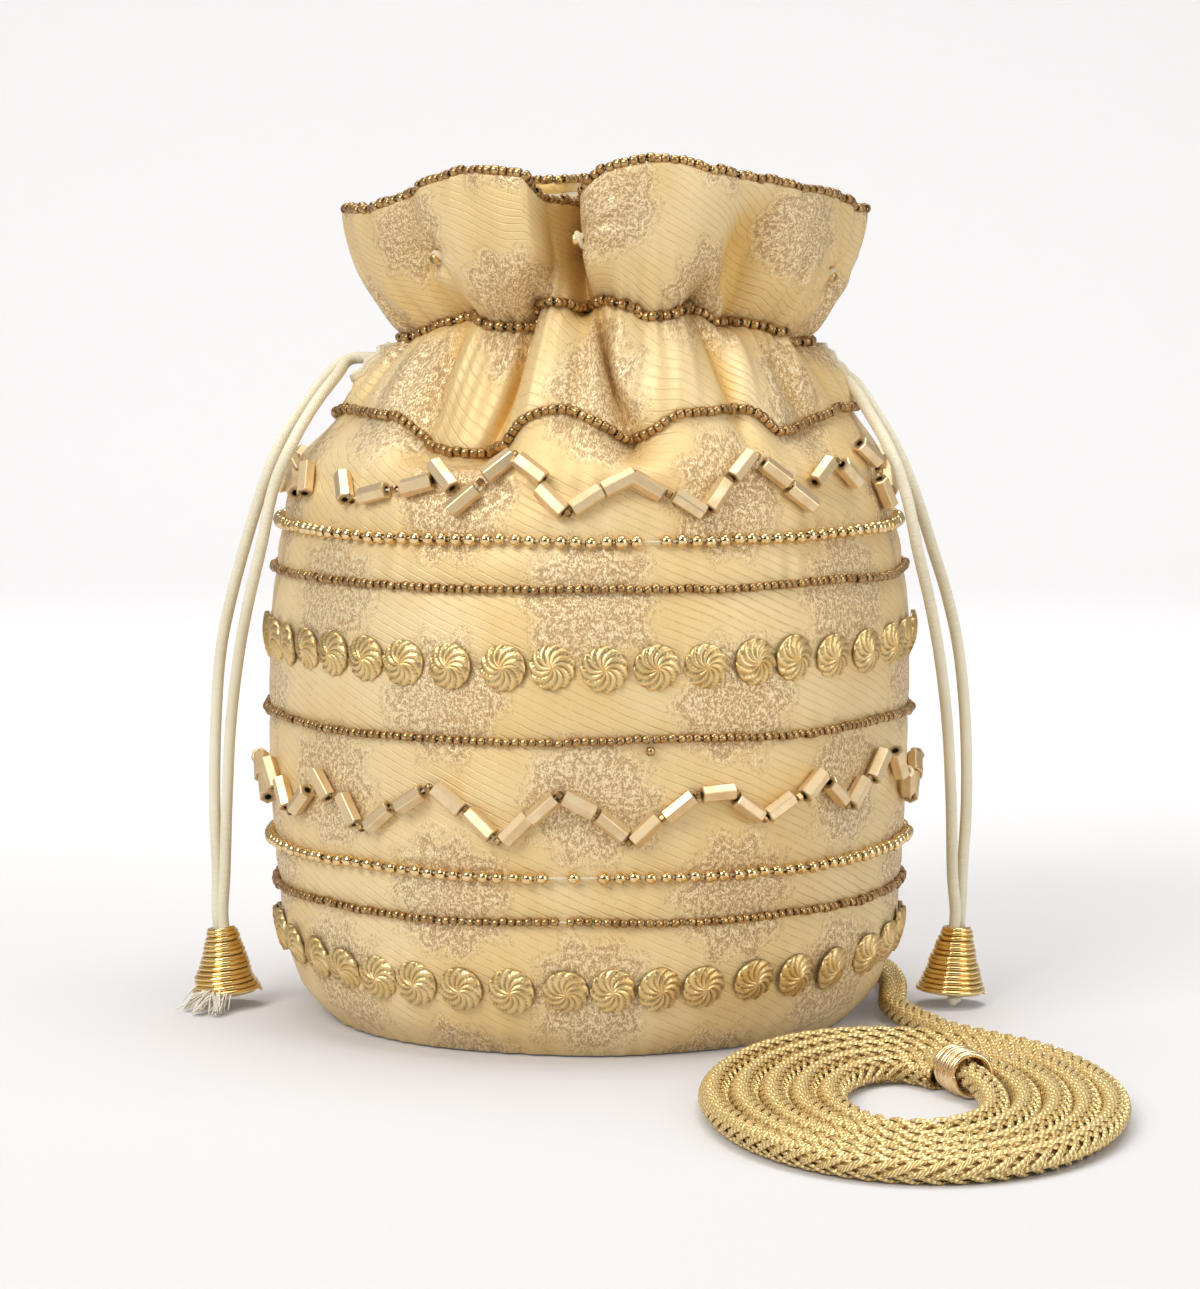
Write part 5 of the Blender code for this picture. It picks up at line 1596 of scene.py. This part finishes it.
@dataclass
class Sling:
    """The braided sling: down the back, round the bag's right and into an oval coil."""

    width: float = 6.8 * MM
    flatness: float = 0.9
    lay: float = 29 * MM
    strands: int = 6
    core: float = 2.2 * MM
    ribbon_radius: float = 2.72 * MM
    ribbon_width: float = 1.5 * MM
    weave_depth: float = 0.58 * MM
    coil_centre: tuple[float, float] = (70.5, -128.0)
    coil_start: float = 62.0
    coil_turns: float = 5.03
    inner_wide: float = 17.2
    inner_deep: float = 31.7
    collar_angle: float = 35.0
    collar_radius: float = 4.7 * MM
    collar_length: float = 11.4 * MM
    collar_turns: int = 9
    route: tuple = (
        (0, 59.8, 160.8), (0, 64.2, 163), (0, 69, 162), (0, 73, 157.5), (0, 77.4, 148.5), (0, 81.2, 138.5),
        (0, 84.2, 126), (0, 86, 112), (0, 86.7, 94), (0, 86.7, 76), (0, 86.6, 58), (0.4, 86, 42), (1.6, 85, 28),
        (4.2, 85.2, 17), (9.5, 86.8, 8.5), (18, 88.5, 4.4), (30, 87, 3.3), (44, 80, 3.3), (58, 68.5, 3.3),
        (69.5, 52.5, 3.3), (76, 34, 3.3), (77.6, 14, 3.3), (76.4, -4, 3.3), (75.6, -18, 3.3), (78.2, -32, 3.3),
        (82.4, -44.5, 3.3), (87.1, -55.9, 3.3),
    )

    def coil(self) -> np.ndarray:
        """Points of the coil, clockwise inwards, in metres."""
        swept = np.linspace(0.05, self.coil_turns, round(self.coil_turns * 44))
        angle = np.radians(self.coil_start - swept * 360)
        wide = 47.25 - 6.55 * swept
        deep = np.interp(swept, (0, 0.32, 1, 2, 3, 4, 5.03), (72.2, 70.6, 66.2, 58.4, 50.2, 41.0, 30.0))
        collar = 4 + (self.coil_start - self.collar_angle) / 360
        near = bell(swept - collar, 0.09)
        wide = wide + near * (self.inner_wide - np.interp(collar, swept, wide))
        deep = deep + near * (self.inner_deep - np.interp(collar, swept, deep))
        chance = np.random.default_rng(5)
        sway = np.interp(swept, np.linspace(0, 5.1, 24), chance.normal(0, 0.28, 24))
        height = 3.25 + 2.3 * near + 0.12 * np.cos(swept * 23)
        x = self.coil_centre[0] + (wide + sway) * np.cos(angle)
        y = self.coil_centre[1] + (deep + sway * 1.3) * np.sin(angle)
        return np.stack([x, y, height], axis=1) * MM

    def path(self) -> np.ndarray:
        """The sling's whole centreline."""
        return smooth_route(np.concatenate([np.array(self.route) * MM, self.coil()]), 1.5 * MM)

    def squashed(self, path: np.ndarray, grid: np.ndarray) -> np.ndarray:
        """The rope's skin pressed a little flatter where it lies."""
        offset = grid - path[:, None]
        offset[..., 2] *= self.flatness
        return path[:, None] + offset

    def braid(self, path: np.ndarray) -> Pile:
        """Twelve flat strands, six each way, that pass over and under one another."""
        _, side, other = route_frames(path, up=(1, 0, 0))
        reached = distance(path)
        pile = Pile()
        grid, flat = tube(path, self.core, 6)
        pile.add_grid(self.squashed(path, grid), flat, closed=True, slot=1)
        across = np.linspace(-1, 1, 7)
        arch = np.array([-0.35, 0.22, 0.3, -0.05, 0.3, 0.22, -0.35]) * MM
        for way in (1, -1):
            for strand in range(self.strands):
                turn = math.tau * strand / self.strands + way * math.tau * reached / self.lay
                lift = way * self.weave_depth * np.cos(2 * turn + way * 0.2)
                half = self.ribbon_width / 2 / math.cos(math.atan(math.tau * self.ribbon_radius / self.lay))
                spots = turn[:, None] + across[None] * half / self.ribbon_radius
                radius = self.ribbon_radius + lift[:, None] + arch[None]
                ring = np.cos(spots)[..., None] * side[:, None] + np.sin(spots)[..., None] * other[:, None]
                grid = self.squashed(path, path[:, None] + radius[..., None] * ring)
                flat = np.stack(np.meshgrid(across * self.ribbon_width / 2 + strand * 0.013, reached), axis=-1)
                pile.add_grid(grid[:, ::-1], flat[:, ::-1])
        return pile

    def build_collar(self, path: np.ndarray, finishes: Wardrobe) -> bpy.types.Object:
        """The wire collar wound round the rope's inner turn."""
        angle = math.radians(self.collar_angle)
        centre = np.array([
            self.coil_centre[0] + self.inner_wide * math.cos(angle),
            self.coil_centre[1] + self.inner_deep * math.sin(angle), 5.55,
        ]) * MM
        nearest = path[int(np.argmin(np.linalg.norm(path - centre, axis=1)))]
        index = int(np.argmin(np.linalg.norm(path - nearest, axis=1)))
        along = unit(path[index + 3] - path[index - 3])
        level = unit(np.cross(along, (0, 0, 1)))
        above = np.cross(level, along)
        share = np.linspace(0, 1, self.collar_turns * 30)
        turn = share * self.collar_turns * math.tau
        wire = self.collar_length / self.collar_turns / 2 * 0.96
        radius = self.collar_radius - 0.15 * MM * np.cos(share * math.tau) + 0.12 * MM * np.sin(turn * 0.37)
        coil = centre + (share - 0.5)[:, None] * self.collar_length * along
        coil = coil + radius[:, None] * (np.cos(turn)[:, None] * level + np.sin(turn)[:, None] * above)
        pile = Pile()
        pile.add_tube(coil, wire * np.interp(share, (0, 0.005, 0.995, 1), (0.5, 1, 1, 0.5)), 10, ends=True)
        piece = pile.build("wire_collar", finishes[Finish.COPPER])
        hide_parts("sling_collar")
        return piece

    def build(self, finishes: Wardrobe) -> None:
        """Makes the rope and its collar."""
        path = self.path()
        collar = self.build_collar(path, finishes)
        piece = self.braid(path).build("braided_sling", finishes[Finish.GILT], finishes[Finish.PAINTED_SHADE_CORE])
        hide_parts("sling_run", "sling_coil")
        length = float(distance(path)[-1])
        LOG.info("the sling is %.3f m long", length)
        tuple(path[0])


def build_tacks(cloth: Cloth, finishes: Wardrobe) -> None:
    """Knotted tacks that hold the ruffle's two layers together."""
    for name, (at, level) in zip(("left", "middle", "right"), cloth.tacks, strict=True):
        here, out, across, up = (rows[0] for rows in cloth.frames(np.array([at]), np.array([level])))
        share = np.linspace(0, math.tau * 3, 130)
        wide, tall = (1.7, 2.4) if name == "right" else (1.9, 1.8)
        height = tall * np.sin(share) * np.cos(share * 0.34 + 0.3)
        loop = np.stack([wide * np.cos(share), height, 0.7 + 0.65 * np.sin(share * 1.37)], axis=1)
        path = here + (loop[:, :1] * across + loop[:, 1:2] * up + loop[:, 2:] * out) * MM
        pile = Pile()
        pile.add_tube(path, 0.62 * MM, 8, ends=True)
        axes = np.stack([out, across, up])[None]
        pile.add_copies(seed_shape(2.6 * MM, 12), (here + out * 1.5 * MM)[None], axes, slot=1)
        piece = pile.build(f"tack_{name}", finishes[Finish.THREAD], finishes[Finish.ANTIQUE])
        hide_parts(f"tack_bead_{name}")


# Studio


@dataclass
class Studio:
    """A pale floor that turns up into the backdrop, soft lamps and the camera."""

    camera_place: Place = (-0.0015, -1.0495, 0.1999)
    pitch: float = 5.897
    yaw: float = 0.231
    lens: float = 117.58
    floor_colour: Colour = (0.66, 0.647, 0.645)
    aim: Place = (0, 0, 0.1)

    def build_camera(self) -> None:
        """The camera, at the photograph's viewing angle."""
        camera = bpy.data.cameras.new("camera")
        camera.lens = self.lens
        camera.sensor_width = 36
        camera.sensor_fit = "AUTO"
        viewer = new_object("camera", camera)
        viewer.location = self.camera_place
        viewer.rotation_euler = (math.radians(90 - self.pitch), 0, math.radians(-self.yaw))
        bpy.context.scene.camera = viewer

    def build_floor(self) -> None:
        """A seamless floor, which the camera sees as nearly white."""
        bend = [(1.2 + 0.8 * np.sin(a), 0.8 - 0.8 * np.cos(a)) for a in np.linspace(0, math.pi / 2, 24)[1:]]
        profile = [(-3.0, 0.0), (1.2, 0.0), *bend, (2.0, 4.0)]
        pile = Pile()
        pile.add_grid(np.array([[(x, y, z - 0.0001) for x in (-4.0, 4.0)] for y, z in profile]))
        material, wiring, shader = new_material("paper")
        grain = wiring.noise(wiring.space(), 900, 3)
        pale = tuple(part * 1.015 for part in self.floor_colour)
        rays = wiring.add("ShaderNodeLightPath")
        _, far, high = wiring.split(wiring.space())
        seen = wiring.math("MULTIPLY", rays.outputs["Is Camera Ray"], wiring.rise(far, -0.3, 0.9))
        wiring.fill(
            shader, Base_Color=wiring.mix(wiring.rise(grain, 0.3, 0.7), self.floor_colour, pale),
            Normal=wiring.bump(grain, 0.02 * MM), Emission_Color=(1, 0.98, 0.99),
            Emission_Strength=seen * wiring.rise(high, -0.1, 0.7, 0.44, 0.39), Roughness=0.9,
            Specular_IOR_Level=0.15,
        )
        floor = pile.build("floor", material)

    def add_lamp(self, name: str, place: Place, size: tuple[float, float], power: float) -> None:
        """A soft rectangular lamp that looks at the bag."""
        lamp = bpy.data.lights.new(name, "AREA")
        lamp.shape = "RECTANGLE"
        lamp.size, lamp.size_y = size
        lamp.energy = power
        holder = new_object(name, lamp)
        holder.location = place
        holder.rotation_euler = (Vector(self.aim) - Vector(place)).to_track_quat("-Z", "Y").to_euler()

    def build_light(self) -> None:
        """Lamps above and at both sides, and an even pale world."""
        self.add_lamp("top", (0.05, 0.1, 1.45), (1.2, 0.9), 14)
        self.add_lamp("key", (-0.85, -1.15, 1.15), (0.9, 0.9), 19)
        self.add_lamp("fill", (1.25, -0.9, 0.6), (0.9, 1.1), 7)
        world = bpy.data.worlds.new("room")
        world.use_nodes = True
        wiring = Wiring(world.node_tree)
        rays = wiring.add("ShaderNodeLightPath").outputs
        seen = wiring.math("MAXIMUM", rays["Is Camera Ray"], rays["Is Transmission Ray"])
        back = world.node_tree.nodes["Background"]
        wiring.fill(back, Strength=wiring.between(seen, 0.4, 0.9), Color=(1, 0.99, 0.985))
        bpy.context.scene.world = world

    def build_flag(self) -> None:
        """A dark card round the camera that only gloss sees, so that polished beads keep a dark middle."""
        pile = Pile()
        pile.add_grid(np.array([[(x, -1.35, z) for x in (-0.7, 0.7)] for z in (-0.3, 0.85)]))
        material, wiring, shader = new_material("black card")
        fine = wiring.noise(wiring.space(), 60, 2)
        wiring.fill(shader, Base_Color=wiring.mix(fine, (0.05, 0.045, 0.04), (0.07, 0.06, 0.05)), Roughness=0.9)
        card = pile.build("flag", material)
        for rays in ("camera", "diffuse", "shadow", "transmission"):
            setattr(card, f"visible_{rays}", False)

    def build(self) -> None:
        """Sets up the whole studio."""
        self.build_camera()
        self.build_floor()
        self.build_light()
        self.build_flag()
        bpy.context.scene.view_settings.view_transform = "Standard"


def main() -> None:
    """Builds the studio and every piece of the bag."""
    logging.basicConfig(level=logging.INFO)
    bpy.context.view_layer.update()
    finishes = Wardrobe()
    Studio().build()
    Drawstrings().build(finishes)
    Sling().build(finishes)
    cloth = Cloth()
    Lining(cloth).build(finishes)
    cloth.build(finishes)
    cloth.build_slots(finishes)
    strings = Strings(cloth, finishes)
    strings.build_lines()
    strings.build_rows()
    strings.build_loose_bead()
    Rosettes(cloth).build(finishes)
    Zigzags(cloth).build(finishes)
    build_tacks(cloth, finishes)


if __name__ == "__main__":
    main()
